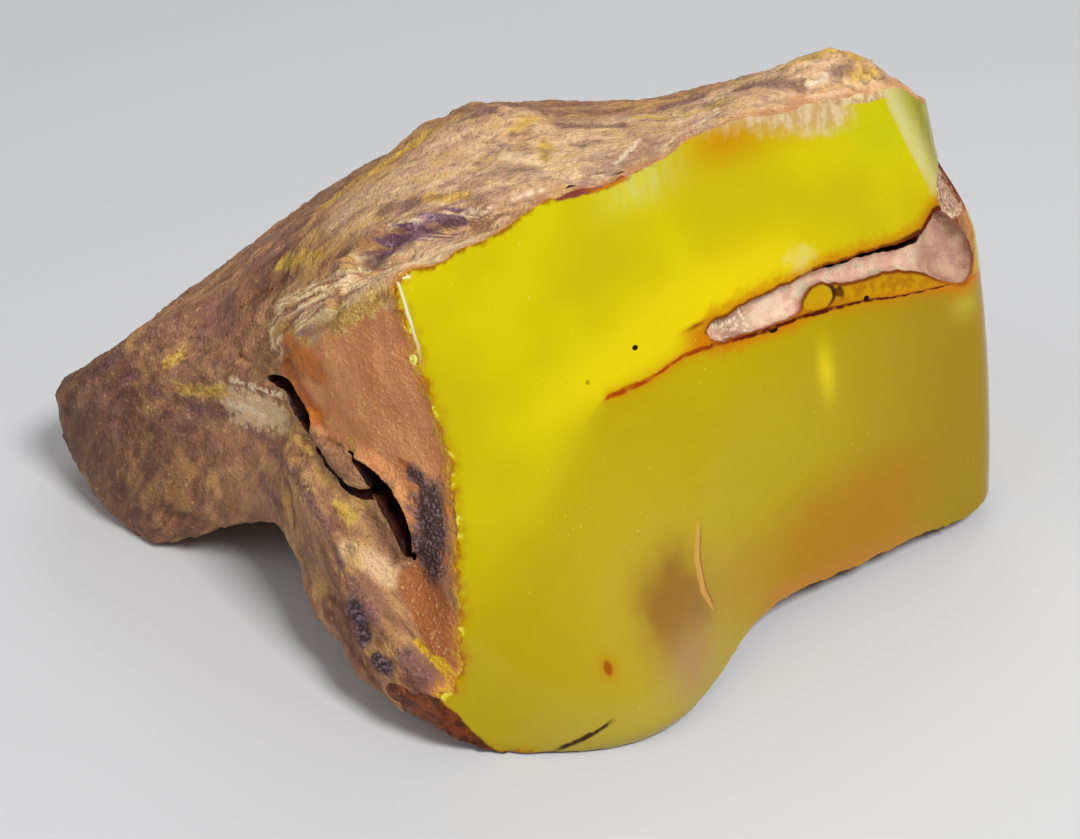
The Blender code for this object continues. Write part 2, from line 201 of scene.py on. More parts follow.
def distance_to(points, path):
    """How far points are from a path of straight runs, or from its one point."""
    path = np.asarray(path, float)
    if len(path) == 1:
        return np.linalg.norm(points - path[0], axis=1)
    nearest = np.full(len(points), np.inf)
    for start, end in zip(path, path[1:]):
        run = end - start
        share = np.clip((points - start) @ run / (run @ run), 0, 1)
        nearest = np.minimum(nearest, np.linalg.norm(points - start - share[:, None] * run, axis=1))
    return nearest


def nearness(points, paths):
    """1 on any of the paths, falling smoothly to 0 at about twice its half width from it."""
    near = np.zeros(len(points))
    for half_width, *path in paths:
        near = np.maximum(near, np.exp(-(distance_to(points, path) / half_width) ** 2))
    return near


def noise_at(points, wave, octaves=1):
    """Noise between about -1 and 1 at each point, whose lumps are about wave across."""
    places = (points / wave).tolist()
    if octaves == 1:
        return np.array([noise.noise(place) for place in places])
    return np.array([noise.fractal(place, 1.0, 2.0, octaves) for place in places])


def cell_distance(points, wave):
    """How far each point is from the nearest of scattered points about wave apart, in waves."""
    return np.array([noise.voronoi(place)[0][0] for place in (points / wave).tolist()])


# Meshes


def points_of(mesh):
    flat = np.empty(len(mesh.vertices) * 3, np.float32)
    mesh.vertices.foreach_get("co", flat)
    return flat.reshape(-1, 3).astype(float) / MM


def normals_of(mesh):
    flat = np.empty(len(mesh.vertices) * 3, np.float32)
    mesh.vertex_normals.foreach_get("vector", flat)
    return flat.reshape(-1, 3).astype(float)


def move_points(mesh, points):
    mesh.vertices.foreach_set("co", (points * MM).astype(np.float32).ravel())
    mesh.update()


def add_object(mesh, *materials):
    made = bpy.data.objects.new(mesh.name, mesh)
    bpy.context.scene.collection.objects.link(made)
    for mat in materials:
        mesh.materials.append(mat)
    return made


def applied(piece, name):
    """The piece's mesh with its modifiers applied."""
    graph = bpy.context.evaluated_depsgraph_get()
    mesh = bpy.data.meshes.new_from_object(piece.evaluated_get(graph))
    mesh.name = name
    return mesh


def mesh_from(bm, name):
    """Turns a bmesh into a mesh, and frees it."""
    mesh = bpy.data.meshes.new(name)
    bm.to_mesh(mesh)
    bm.free()
    return mesh


def loft(rings, name, slots=()):
    """A closed skin through rings of points, with a fan at each end. Where slots are given, they
    are the material slots of the bands that follow each point of a ring."""
    bm = bmesh.new()
    rows = [[bm.verts.new(point * MM) for point in ring] for ring in rings]
    around = len(rows[0])
    for low, high in zip(rows, rows[1:]):
        for i in range(around):
            j = (i + 1) % around
            face = bm.faces.new((low[i], low[j], high[j], high[i]))
            face.material_index = slots[i] if slots else 0
    for ring in (rows[0], rows[-1]):
        tip = bm.verts.new(sum((v.co for v in ring), Vector()) / around)
        for i in range(around):
            bm.faces.new((ring[i], ring[(i + 1) % around], tip))
    bmesh.ops.triangulate(bm, faces=bm.faces)
    bmesh.ops.recalc_face_normals(bm, faces=bm.faces)
    return mesh_from(bm, name)


# The rough skin

# Each is how wide, how high or deep, and where it runs.
RIDGES = [
    (0.6, 0.55, (-19.8, -12.4, 30.8), (-18.2, -14.2, 33.0), (-16.4, -15.4, 35.7), (-15.0, -14.0, 37.2),
     (-13.9, -11.9, 38.0)),
    (0.6, 0.40, (-20.6, -8.6, 31.4), (-17.7, -10.8, 34.6), (-15.2, -11.2, 37.4)),
    (0.5, 0.35, (-22.6, -5.4, 29.8), (-19.4, -8.6, 33.0), (-16.2, -9.4, 36.2)),
    (0.7, 0.40, (-15.4, -16.9, 35.2), (-13.4, -17.9, 37.6), (-10.4, -18.6, 39.9)),
    (0.4, 0.35, (-28.2, -4.6, 21.9), (-25.8, -6.8, 22.6), (-23.7, -9.0, 23.2), (-21.7, -10.6, 23.5)),
    (0.7, 0.30, (-31.5, -1.9, 17.9), (-26.4, -6.2, 19.2), (-22.6, -10.4, 18.9), (-20.6, -14.4, 18.8)),
    (0.8, 0.40, (-13.6, -25.8, 12.0), (-11.9, -27.4, 10.3), (-10.2, -29.2, 8.9)),
    (0.8, 0.45, (-18.4, -13.9, 22.0), (-17.2, -15.8, 21.6), (-15.9, -17.7, 21.0), (-14.2, -19.4, 20.8)),
]
FURROWS = [
    (0.9, 0.85, (-13.6, -12.6, 37.6), (-12.4, -12.1, 38.6), (-11.0, -11.7, 39.8), (-8.6, -11.7, 41.1),
     (-6.0, -11.8, 41.8)),
    (0.4, 0.40, (-26.4, -3.8, 23.8), (-25.0, -5.6, 23.9), (-23.4, -7.6, 24.1)),
    (0.5, 0.45, (-17.3, -15.0, 33.2), (-15.9, -16.2, 35.4), (-14.6, -15.6, 37.0), (-13.6, -13.6, 37.6)),
    (0.4, 0.35, (-8.9, -28.4, 9.3), (-7.4, -30.0, 8.1), (-5.8, -31.6, 6.6)),
    (0.8, 0.45, (-28.8, 4.0, 25.5), (-18.0, 3.2, 35.0), (-9.4, 6.4, 41.0)),
    (0.35, 0.45, (-18.1, -14.5, 23.2), (-17.4, -15.8, 22.7), (-16.1, -17.3, 22.0)),
    (0.6, 0.45, (-10.6, -30.1, 6.2), (-8.0, -31.2, 5.7), (-5.4, -32.2, 5.0)),
    (0.6, 0.45, (-35.4, -2.6, 4.6), (-32.3, -3.9, 5.4), (-29.6, -4.5, 5.0)),
    (0.4, 0.35, (-4.4, -11.9, 41.8), (-2.6, -13.5, 42.2), (-0.2, -12.7, 43.1), (3.0, -10.8, 43.9)),
    (0.5, 0.35, (-4.0, -2.6, 42.7), (-1.8, 0.9, 43.2), (0.8, 2.4, 43.5)),
]
SHELF_EDGE = [(-14.6, -11.6, 37.6), (-12.0, -10.6, 39.9), (-9.7, -11.3, 41.5), (-6.9, -11.8, 42.0),
              (-3.2, -11.8, 42.4), (2.0, -9.6, 43.4)]
SHELF_STEP = (1.1, 0.35)  # how high it stands, and over what width it drops
SHELF_REACH = 2.6

STRANDS = [(2.4, (-22.5, -7.0, 28.6), (-18.6, -11.6, 33.0), (-15.0, -14.0, 36.8), (-12.4, -15.2, 39.0))]
HOLLOW = [(0.95, (-13.5, -12.5, 37.5), (-12.4, -12.0, 38.4), (-11.0, -11.6, 39.6), (-8.6, -11.6, 41.0),
           (-5.9, -11.7, 41.7))]
PANEL = [
    (3.0, (-17.6, -14.6, 29.4), (-15.2, -17.2, 31.5), (-12.0, -19.9, 34.6)),
    (3.2, (-17.0, -15.0, 25.9), (-14.0, -18.5, 27.5), (-10.2, -21.8, 30.0)),
    (2.6, (-14.2, -18.2, 24.8), (-11.5, -20.9, 24.6), (-9.0, -22.8, 25.5)),
    (1.9, (-9.3, -22.8, 21.4), (-8.2, -24.2, 19.6), (-7.6, -25.2, 16.6)),
    (1.9, (-9.0, -25.4, 13.8), (-7.6, -27.2, 12.0), (-6.2, -29.5, 10.0), (-5.4, -30.5, 8.8)),
]
TAIL_FRONT = [(7.0, (-41.0, 3.0, 9.0), (-33.0, -3.5, 10.0), (-26.0, -8.5, 13.0))]
LEG = [(4.5, (-19.0, -16.5, 17.0), (-14.5, -24.5, 11.0), (-8.0, -30.5, 6.0))]
SOOT = [
    (1.75, (-7.9, -23.9, 21.2), (-7.8, -24.5, 19.3), (-7.7, -24.9, 17.4), (-7.8, -25.1, 16.2)),
    (0.7, (-9.4, -22.2, 23.2), (-8.6, -23.0, 22.8)),
    (1.3, (-14.4, -25.4, 10.4), (-14.0, -26.3, 9.2)),
    (0.7, (-12.7, -28.0, 7.4), (-11.8, -28.8, 7.4)),
]

GRAIN_TOP = unit(0.85, 0.20, 0.48)
GRAIN_TAIL = unit(0.10, -0.25, 1.0)
GRAIN_STRANDS = unit(0.55, -0.52, 0.65)
GRAIN_PANEL = unit(0.30, -0.35, -0.88)
GRAIN_LEG = unit(0.50, -0.70, -0.50)
GRAIN_SQUEEZE = 0.62  # how far the fibres are drawn out: 0 is round, 1 endless
STRANDS_ACROSS = np.array((-0.226, -0.844, -0.485))
STRANDS_PITCH = 1.5


def grain_coords(points):
    """The points, squeezed along the fibres of the rind, so that noise on them makes fibres."""
    total = np.full(len(points), 0.35)
    regions = [(GRAIN_TOP, np.zeros(3), total.copy())]
    for grain, paths in ((GRAIN_TAIL, TAIL_FRONT), (GRAIN_STRANDS, STRANDS), (GRAIN_PANEL, PANEL),
                         (GRAIN_LEG, LEG)):
        weight = 3 * nearness(points, paths)
        total = total + weight
        regions.append((grain, np.mean(paths[0][1:], axis=0), weight))
    squeezed = points.copy()
    for grain, middle, weight in regions:
        along = ((points - middle) @ grain) * GRAIN_SQUEEZE * weight / total
        squeezed -= along[:, None] * grain
    return squeezed


def ridged(values):
    """Noise folded into sharp crests: 1 where it crosses zero, falling to both sides."""
    return 1 - np.minimum(np.abs(values) * 4, 1)


def fine_relief(points):
    """The fibres, wrinkles and pits of the rind, as a height at each point."""
    squeezed = grain_coords(points)
    strands = nearness(points, STRANDS)
    hollow = nearness(points, HOLLOW)
    smooth = np.maximum(np.minimum(nearness(points, PANEL) * 2, 1), 0.6 * nearness(points, TAIL_FRONT))
    crests = ridged(noise_at(squeezed, 2.2, 2))
    height = (0.13 + 0.12 * hollow) * (crests - 0.5)
    height += 0.12 * (ridged(noise_at(squeezed + 31.0, 1.1, 1)) - 0.5)
    across = points @ STRANDS_ACROSS * np.pi / STRANDS_PITCH + 1.2 * noise_at(points, 4.0, 2)
    height += 0.42 * strands * (np.abs(np.sin(across)) - 0.6)
    height += 0.13 * noise_at(points, 2.0, 3)
    wrinkles = ridged(noise_at(squeezed + 57.0, 5.0, 3))
    height -= 0.50 * np.maximum(wrinkles - 0.6, 0)
    pits = np.maximum(1 - cell_distance(points, 1.7) / 0.34, 0)
    height -= 0.24 * smoothstep(noise_at(points + 11.0, 8.0), 0.0, 0.3) * pits
    grains = np.maximum(1 - cell_distance(points, 0.85) / 0.6, 0)
    return height * (1 - 0.8 * smooth) + 0.30 * nearness(points, SOOT) * (grains - 0.3)


def rind_relief(points):
    """How far the rind stands out at each point."""
    height = fine_relief(points) + 0.22 * noise_at(points, 6.5, 2)
    for half_width, rise, *path in RIDGES:
        height += rise * nearness(points, [(half_width, *path)])
    for half_width, drop, *path in FURROWS:
        height -= drop * nearness(points, [(half_width, *path)])
    shelf = np.clip(1 - distance_to(points, SHELF_EDGE) / SHELF_REACH, 0, 1)
    behind = points[:, 1] - np.interp(points[:, 0], *np.array(SHELF_EDGE)[:, :2].T)
    step, width = SHELF_STEP
    return height + step * shelf * (smoothstep(behind, -width, width) - 0.5)


def crack_stations():
    """The crack's stations, closer together and with edges that wander."""
    rows = spline(CRACK, CRACK_STEPS)
    places = np.column_stack([rows[:, 0], rows[:, 1], 0 * rows[:, 0]])
    rough = 1 + smoothstep(-rows[:, 0], -5.0, -2.0)
    rows[:, 1] += OUTLINE_WANDER * rough * noise_at(places, 1.1, 3)
    rows[:, 3] += OUTLINE_WANDER * rough * noise_at(places + 40.0, 1.3, 3)
    rows[:, 4] = np.maximum(rows[:, 4], 0.05)
    rows[:, 5] = np.maximum(rows[:, 5], 0.2)
    return rows


def crack_form():
    """The crack as a solid band with a bumpy floor and a deep groove under its upper lip."""
    rows = crack_stations()
    low = rows[:, 0:2]
    high = rows[:, 2:4]
    across = (high - low) / np.linalg.norm(high - low, axis=1)[:, None]
    rise = rows[:, 4]
    depth = rows[:, 5]
    undercut = 1 - smoothstep(rows[:, 2], *UNDERCUT_END)
    groove = LIP_GROOVE * smoothstep(rise, 0.1, 0.7) * undercut
    places = [(low, 0 * depth + MOUTH)]
    for share, down in CRACK_FLOOR:
        places.append((low + share * (high - low), down * depth))
    for over, down, grooved, sloping, sloping_down in LIP:
        beyond = sloping + (over - sloping) * undercut
        down = sloping_down + (down - sloping_down) * undercut
        places.append((high + (beyond * rise)[:, None] * across, -down * depth - grooved * groove))
    places.append((high + rise[:, None] * across, 0 * depth + MOUTH))
    rings = np.array([window_points(*place.T, out) for place, out in places]).swapaxes(0, 1)
    flat = rings.reshape(-1, 3)
    right, _, out = window_coords(flat)
    grains = np.maximum(1 - cell_distance(flat, 0.7) * 1.9, 0)
    granular = 1 - smoothstep(right, *GRAINS_END)
    lumps = 0.22 * noise_at(flat, 1.8, 3) + 0.45 * (grains - 0.3) * granular
    inside = smoothstep(-out, 0.1, 0.5)
    flat = flat + (lumps * inside)[:, None] * WINDOW_NORMAL
    # The lip and its groove take the second material, whose near-black colour is painted shade.
    floor_bands = len(CRACK_FLOOR)
    slots = [0] * floor_bands + [1] * (len(places) - floor_bands)
    return loft(flat.reshape(rings.shape), "crack", slots)


def strip_form():
    """The crusted strip beside the flare, cut down to a bumpy floor."""
    rings = []
    for left, right, up, depth in spline(STRIP, 6):
        across = [left, left + 0.1, left + 0.5, 0.5 * (left + right), right, right]
        out = [MOUTH, -0.3 * depth, -depth, -depth, -depth, MOUTH]
        rings.append(window_points(np.array(across), up, np.array(out)))
    rings = np.array(rings)
    flat = rings.reshape(-1, 3)
    _, _, out = window_coords(flat)
    lumps = 0.25 * noise_at(flat, 0.9, 2) * smoothstep(-out, 0.05, 0.3)
    return loft((flat + lumps[:, None] * WINDOW_NORMAL).reshape(rings.shape), "crusted_strip")


def packed_crack_form():
    rings = []
    for right, up, half, depth in spline(PACKED_CRACK, 3):
        half = max(half, 0.2) + FILL
        ring = [(-half, SPARE), (-half, -depth - FILL), (half + 0.3, -depth - FILL), (half + 0.3, SPARE)]
        rings.append(window_points(right, up + np.array(ring)[:, 0], np.array(ring)[:, 1]))
    return loft(np.array(rings), "crack_filling")


def gap_form(name, points, inward, depth, spare=0.0, front=2.0):
    """A curved wedge that narrows inwards, for a gap in the rind."""
    inward = unit(*inward)
    rows = spline(points, 4)
    rings = []
    for i, row in enumerate(rows):
        run = rows[min(i + 1, len(rows) - 1)][:3] - rows[max(i - 1, 0)][:3]
        side = np.cross(run, inward)
        side /= np.linalg.norm(side)
        half = max(row[3], 0.06) + spare
        ring = []
        for across, down in ((1, -front), (1, 0.5 * depth), (0.3, depth + spare),
                             (-0.3, depth + spare), (-1, 0.5 * depth), (-1, -front)):
            ring.append(row[:3] + side * across * half + inward * down)
        rings.append(ring)
    return loft(np.array(rings), name)


def parting_form():
    rings = []
    for right, up, half in spline(LIP_PARTING, 5):
        half = max(half, 0.04)
        heights = up + np.array((half, half, half - 0.1, -half - 0.1, -half, -half))
        outs = np.array((MOUTH, -0.3, -LIP_PARTING_DEPTH, -LIP_PARTING_DEPTH, -0.3, MOUTH))
        rings.append(window_points(right, heights, outs))
    return loft(np.array(rings), "lip_parting")


def polishing_form():
    """A block whose curved front is the surface that the lump was ground back to."""
    cells = round(2 * WINDOW_REACH / WINDOW_CELL)
    bm = bmesh.new()
    bmesh.ops.create_grid(bm, x_segments=cells, y_segments=cells, size=WINDOW_REACH)
    right, up = np.array([v.co[:2] for v in bm.verts]).T
    wave, width = HAND_POLISH
    ripple = wave * noise_at(np.column_stack([right, up, 0 * up]), width) - wave / 2
    for v, point in zip(bm.verts, window_points(right, up, ripple)):
        v.co = point * MM
    for v in bmesh.ops.extrude_face_region(bm, geom=bm.faces[:])["geom"]:
        if isinstance(v, bmesh.types.BMVert):
            v.co -= Vector(WINDOW_NORMAL) * FORM_THICKNESS * MM
    bmesh.ops.triangulate(bm, faces=bm.faces)
    bmesh.ops.recalc_face_normals(bm, faces=bm.faces)
    return mesh_from(bm, "polishing_form")


def ground_form():
    bm = bmesh.new()
    bmesh.ops.create_cube(bm, size=1)
    bmesh.ops.scale(bm, vec=(0.2, 0.2, 0.02), verts=bm.verts)
    bmesh.ops.translate(bm, vec=(0, 0, -0.01), verts=bm.verts)
    bmesh.ops.triangulate(bm, faces=bm.faces)
    return mesh_from(bm, "ground_form")


def rough_skin():
    """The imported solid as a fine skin, with its window grown outwards and its hollows filled."""
    bm = bmesh.new()
    bm.from_mesh(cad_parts[NODE].data)
    bmesh.ops.remove_doubles(bm, verts=bm.verts, dist=1e-6)
    points = np.array([v.co for v in bm.verts]) / MM
    _, _, out = window_coords(points)
    grown = points + (SPARE * (np.abs(out) < SPARE_REACH))[:, None] * WINDOW_NORMAL
    for v, point in zip(bm.verts, grown):
        v.co = point * MM
    bm.from_mesh(packed_crack_form())
    for points, inward, depth in PACKED_GAPS:
        bm.from_mesh(gap_form("gap_filling", points, inward, depth, FILL, 0.0))
    skin = add_object(mesh_from(bm, "rough_skin"))
    remesh = skin.modifiers.new("fine", "REMESH")
    remesh.mode = "VOXEL"
    remesh.voxel_size = SKIN_CELL * MM
    remesh.use_smooth_shade = True
    smooth = skin.modifiers.new("smooth", "SMOOTH")
    smooth.factor = 0.5
    smooth.iterations = SKIN_SMOOTHING
    mesh = applied(skin, "rough_skin")
    bpy.data.objects.remove(skin, do_unlink=True)
    points = points_of(mesh)
    move_points(mesh, points + rind_relief(points)[:, None] * normals_of(mesh))
    return mesh


def cut(piece, mesh, operation, *materials):
    """Cuts the piece with a form, whose materials the cut takes, and removes the form."""
    form = add_object(mesh, *materials)
    boolean = piece.modifiers.new(form.name, "BOOLEAN")
    boolean.object = form
    boolean.operation = operation
    boolean.solver = "MANIFOLD"
    boolean.material_mode = "TRANSFER"
    piece.data = applied(piece, piece.name)
    piece.modifiers.clear()
    bpy.data.objects.remove(form, do_unlink=True)


CHIP_REACH = 1.0
CHIP_DEPTH = 0.45


def slots_of(mesh, wanted):
    """The slots in which the mesh carries a material of this name."""
    return {i for i, mat in enumerate(mesh.materials) if mat.name == wanted}


def border_distance(mesh, points, reach):
    """How far each point is from the window's border with the rind, up to reach."""
    amber = slots_of(mesh, "polished_amber")
    rind = slots_of(mesh, "weathered_rind")
    sides = [set() for _ in points]
    for polygon in mesh.polygons:
        for v in polygon.vertices:
            sides[v].add(polygon.material_index)
    border = [i for i, found in enumerate(sides) if found & amber and found & rind]
    tree = kdtree.KDTree(len(border))
    for i in border:
        tree.insert(points[i], i)
    tree.balance()
    found = np.full(len(points), reach)
    _, _, out = window_coords(points)
    for i in np.nonzero(np.abs(out) < reach)[0]:
        found[i] = min(tree.find(points[i])[2], reach)
    return found


def chip_border(mesh):
    """Breaks small chips out of the window's left edge."""
    points = points_of(mesh)
    near = np.clip(1 - border_distance(mesh, points, CHIP_REACH) / CHIP_REACH, 0, 1)
    right, _, out = window_coords(points)
    polished = np.abs(out) < 0.2
    chips = 0.35 + 0.65 * smoothstep(noise_at(points, 1.3, 2), -0.1, 0.35)
    share = near ** 1.5 * chips * smoothstep(-right, 25.5, 26.5) * polished
    move_points(mesh, points - (CHIP_DEPTH * share)[:, None] * WINDOW_NORMAL)


def crack_distance(points):
    """How far each point of the window is from the edges of the crack, up to 6 mm."""
    rows = crack_stations()
    low = rows[:, 0:2]
    high = rows[:, 2:4]
    lip = high + (rows[:, 4] / np.linalg.norm(high - low, axis=1))[:, None] * (high - low)
    right, up, out = window_coords(points)
    found = np.full(len(points), 6.0)
    near = np.nonzero((np.abs(out) < 0.5) & (right > -7) & (np.abs(up - 7.5) < 9))[0]
    flat = np.column_stack([right, up])[near]
    found[near] = np.minimum(np.minimum(distance_to(flat, low), distance_to(flat, lip)), 6)
    return found


# What is painted where: a half width and a path on the rind for each stroke.

PAINT = {
    "panel": PANEL,
    "strands": STRANDS,
    "hollow": HOLLOW,
    "soot": SOOT,
    "mauve": [
        (0.62, (-31.5, -1.9, 16.7), (-28.9, -3.5, 17.3), (-26.0, -6.4, 17.9), (-23.2, -9.2, 17.5),
         (-22.0, -11.9, 18.0), (-21.0, -14.4, 18.6), (-19.8, -16.2, 17.7), (-18.3, -18.1, 16.9),
         (-17.3, -20.1, 16.1), (-16.7, -21.3, 14.9), (-15.9, -22.8, 13.8)),
        (0.8, (-23.0, -9.8, 17.2), (-21.6, -12.4, 17.8)),
        (0.7, (-24.1, -9.7, 14.0), (-22.8, -11.6, 12.9), (-22.3, -12.0, 10.9)),
        (0.9, (-15.2, -24.3, 13.0), (-13.9, -25.6, 12.2), (-13.0, -26.6, 11.0)),
        (1.2, (-9.8, -29.4, 9.1), (-8.8, -30.6, 7.9), (-7.5, -31.4, 6.8)),
        (0.55, (-35.8, 1.2, 17.0), (-34.7, 0.4, 16.8)),
        (1.1, (-41.0, 6.7, 16.5), (-39.6, 6.2, 17.5)),
        (0.8, (-38.8, 3.5, 16.6), (-37.5, 3.0, 17.4)),
        (0.5, (-18.4, -14.2, 31.4), (-17.2, -15.2, 33.3), (-15.9, -16.4, 35.4), (-14.7, -16.4, 36.9),
         (-13.6, -14.4, 37.8)),
        (0.45, (-20.4, -9.8, 31.6), (-18.0, -11.9, 34.0), (-15.9, -12.4, 36.6)),
        (0.45, (-16.6, -9.8, 36.0), (-14.6, -9.6, 37.8)),
        (0.9, (-4.2, 6.2, 43.2), (-1.4, 8.2, 43.0), (2.0, 9.6, 42.2)),
        (0.8, (3.3, 4.4, 43.1), (6.0, 3.8, 43.2), (8.7, 3.8, 43.4)),
        (0.5, (-4.0, -2.2, 42.6), (-2.9, -0.5, 42.8), (-1.8, 1.1, 43.1), (-0.6, 2.2, 43.3),
         (0.8, 2.5, 43.5)),
        (0.8, (-12.3, -4.8, 39.0), (-10.7, -5.9, 40.1), (-9.4, -6.2, 40.8)),
        (0.35, (-4.4, -12.0, 41.8), (-3.1, -13.2, 41.8), (-1.8, -13.7, 42.4), (0.2, -12.5, 43.2)),
        (0.4, (-3.8, -9.6, 42.6), (-0.6, -8.4, 43.2), (2.6, -7.6, 43.5)),
        (0.9, (18.5, 10.3, 44.2), (21.5, 7.7, 45.5), (25.0, 6.6, 45.8)),
        (0.7, (28.4, 8.5, 46.4), (29.9, 9.9, 46.2)),
        (0.8, (12.8, 9.7, 42.4), (15.4, 10.2, 42.9), (17.0, 12.6, 42.6)),
        (1.8, (-26.0, 14.0, 24.0), (-10.0, 24.0, 30.0), (8.0, 26.0, 32.0)),
        (2.4, (20.0, 24.0, 33.0), (34.0, 22.0, 32.0)),
    ],
    "ochre": [
        (0.75, (-32.4, -1.3, 18.4), (-29.8, -2.9, 19.2), (-27.8, -4.6, 20.2)),
        (0.8, (-34.0, 0.7, 20.0), (-32.5, 0.8, 20.9)),
        (0.8, (-22.3, 0.2, 31.2), (-20.1, -2.8, 33.3), (-18.0, -5.4, 35.0)),
        (1.0, (-18.0, 5.2, 35.0), (-13.3, 6.7, 37.9), (-8.4, 7.2, 41.2), (-5.0, 8.6, 42.4)),
        (0.8, (-8.4, -6.2, 41.3), (-6.7, -7.0, 41.6), (-5.0, -7.6, 41.9)),
        (0.6, (1.9, 1.0, 43.5), (2.0, -1.0, 43.5), (1.9, -2.6, 43.3)),
        (0.7, (-0.3, 3.1, 43.4), (0.8, 5.0, 43.3)),
        (0.8, (10.6, 6.6, 42.8), (12.8, 5.0, 43.5), (15.2, 6.6, 43.6), (17.4, 6.0, 44.3)),
        (1.1, (23.8, 10.4, 46.0), (28.0, 11.9, 47.0), (31.0, 12.2, 46.4)),
        (0.8, (30.4, 9.7, 45.6), (32.4, 11.3, 45.3)),
        (0.35, (-15.1, -17.5, 23.6), (-14.4, -18.3, 22.9)),
        (0.6, (-16.2, -19.4, 17.8), (-15.2, -20.6, 17.3)),
        (0.6, (-19.6, -13.0, 20.4), (-18.6, -14.4, 20.0)),
        (1.4, (24.0, 26.0, 24.0), (32.0, 25.0, 22.0)),
    ],
    "crumbs": [
        (0.9, (-15.9, -16.2, 33.8), (-14.8, -17.3, 35.6), (-13.4, -18.3, 36.8), (-11.6, -19.5, 38.8)),
        (0.8, (-21.6, -9.4, 30.2), (-20.0, -11.8, 30.6), (-18.6, -13.6, 30.9)),
        (0.5, (-11.2, -19.8, 39.4), (-9.9, -20.5, 39.6)),
    ],
    # Pale scrapes; the strokes along the ridges and the shelf edge are painted highlight as well.
    "pale": [
        (0.34, (-28.2, -4.6, 21.9), (-25.8, -6.8, 22.6), (-23.7, -9.0, 23.2), (-21.7, -10.5, 23.5)),
        (0.45, (-27.1, -4.9, 19.0), (-25.0, -7.2, 20.1), (-23.6, -8.4, 20.0)),
        (0.45, (-19.4, -12.8, 31.2), (-18.2, -14.1, 33.0), (-16.4, -15.4, 35.7), (-15.0, -14.0, 37.2),
         (-13.9, -11.8, 38.0)),
        (0.35, (-21.0, -8.2, 31.0), (-19.0, -9.8, 33.2), (-16.6, -10.9, 35.6), (-15.2, -11.4, 37.4)),
        (0.3, (-22.4, -5.6, 30.0), (-19.4, -8.6, 33.0), (-16.2, -9.4, 36.2)),
        (0.34, (-13.2, -8.4, 38.7), (-12.0, -9.9, 39.9), (-10.2, -11.0, 41.3), (-7.8, -11.3, 42.0),
         (-4.0, -11.6, 42.5), (-0.2, -10.6, 43.6), (1.9, -9.7, 43.8)),
        (0.6, (-4.8, -11.6, 42.2), (-3.7, -11.8, 42.4), (-2.5, -11.6, 42.8)),
        (0.36, (8.1, -4.8, 43.9), (9.2, -2.7, 43.9), (10.3, -0.5, 43.9)),
        (0.5, (25.8, 5.3, 45.3), (27.3, 6.0, 45.2), (29.2, 7.2, 44.9)),
        (0.4, (25.9, 6.8, 46.0), (27.5, 7.9, 46.2)),
        (0.5, (14.2, 0.6, 44.9), (17.4, 2.4, 45.2)),
        (0.28, (-17.6, -15.9, 21.9), (-16.9, -16.8, 21.3)),
    ],
    "tan": [
        (9.0, (-9.0, -2.0, 41.0), (4.0, -3.0, 43.5), (16.0, 1.0, 45.0), (30.0, 10.0, 44.0)),
        (2.6, (-6.0, -15.6, 42.0), (-11.5, -18.4, 39.4)),
        (1.2, (-27.1, -4.9, 19.4), (-24.4, -8.0, 20.8), (-22.0, -10.6, 20.6)),
        (1.1, (-15.4, -22.2, 15.2), (-13.6, -23.2, 14.8), (-11.6, -24.4, 13.6)),
        (2.0, (-8.8, -13.0, 40.2), (-6.0, -12.2, 41.2)),
    ],
    "cream": [
        (2.3, (-13.4, -16.4, 37.8), (-10.0, -17.0, 39.8), (-6.0, -16.0, 41.2), (-2.0, -14.2, 42.4)),
        (2.0, (-26.6, -5.4, 19.2), (-24.4, -7.9, 20.4), (-22.8, -9.8, 20.8)),
        (1.15, (-1.2, -1.9, 43.1), (0.4, -2.6, 43.3)),
        (1.5, (30.4, 7.6, 44.6), (33.6, 9.8, 44.0)),
        (1.3, (29.8, 9.5, 38.0), (31.0, 9.8, 34.0)),
    ],
    "lip": [(0.75, (-8.6, -19.9, 40.6), (-6.3, -18.7, 41.4), (-4.3, -17.2, 42.0), (-1.8, -15.3, 42.7),
             (0.7, -13.6, 43.3), (1.9, -13.2, 43.5), (3.2, -12.5, 43.8))],
    "umber": [
        (2.6, (-17.0, -22.4, 9.4), (-14.6, -26.2, 8.0), (-12.0, -28.8, 6.6), (-9.4, -30.4, 6.2)),
        (3.0, (-27.5, 1.4, 25.8), (-21.5, -0.2, 31.0)),
        # The tail's ledge: painted shadow in the furrow under it.
        (0.6, (-35.4, -2.6, 3.9), (-32.3, -4.0, 4.7), (-29.6, -4.4, 4.2)),
    ],
    "ember": [
        (1.7, (-20.3, -11.2, 29.0), (-19.3, -13.0, 28.8), (-18.0, -14.6, 28.8)),
        (1.1, (-21.1, -10.2, 26.8), (-20.3, -11.7, 26.4), (-19.4, -13.0, 25.2), (-18.5, -14.1, 23.8)),
        (0.4, (-10.3, -21.6, 23.9), (-8.9, -23.0, 23.0)),
        (0.6, (-6.4, -25.3, 21.6), (-5.3, -26.4, 21.1)),
    ],
    "chip": [
        (0.75, (-11.2, -29.8, 5.5), (-9.5, -30.9, 5.1), (-8.0, -31.4, 4.9), (-6.4, -32.2, 4.9),
         (-5.0, -32.4, 3.9), (-3.8, -32.5, 2.6)),
        (1.3, (-9.4, -30.4, 3.6), (-7.4, -31.4, 2.9), (-5.0, -32.0, 2.0), (-3.4, -32.2, 0.8)),
        (1.0, (-8.6, -31.0, 5.2), (-7.0, -31.6, 5.0), (-6.2, -31.8, 3.6)),
    ],
    "seam": [
        (0.34, (-9.2, -28.0, 9.6), (-8.0, -29.1, 8.8), (-7.0, -29.8, 8.3)),
        (0.6, (-7.4, -29.6, 8.6), (-6.4, -30.3, 7.8), (-5.6, -31.0, 7.0)),
    ],
    "tail": [(9.0, (-44.0, 8.0, 10.0), (-38.0, 2.5, 10.0), (-35.0, 0.5, 9.0))],
}
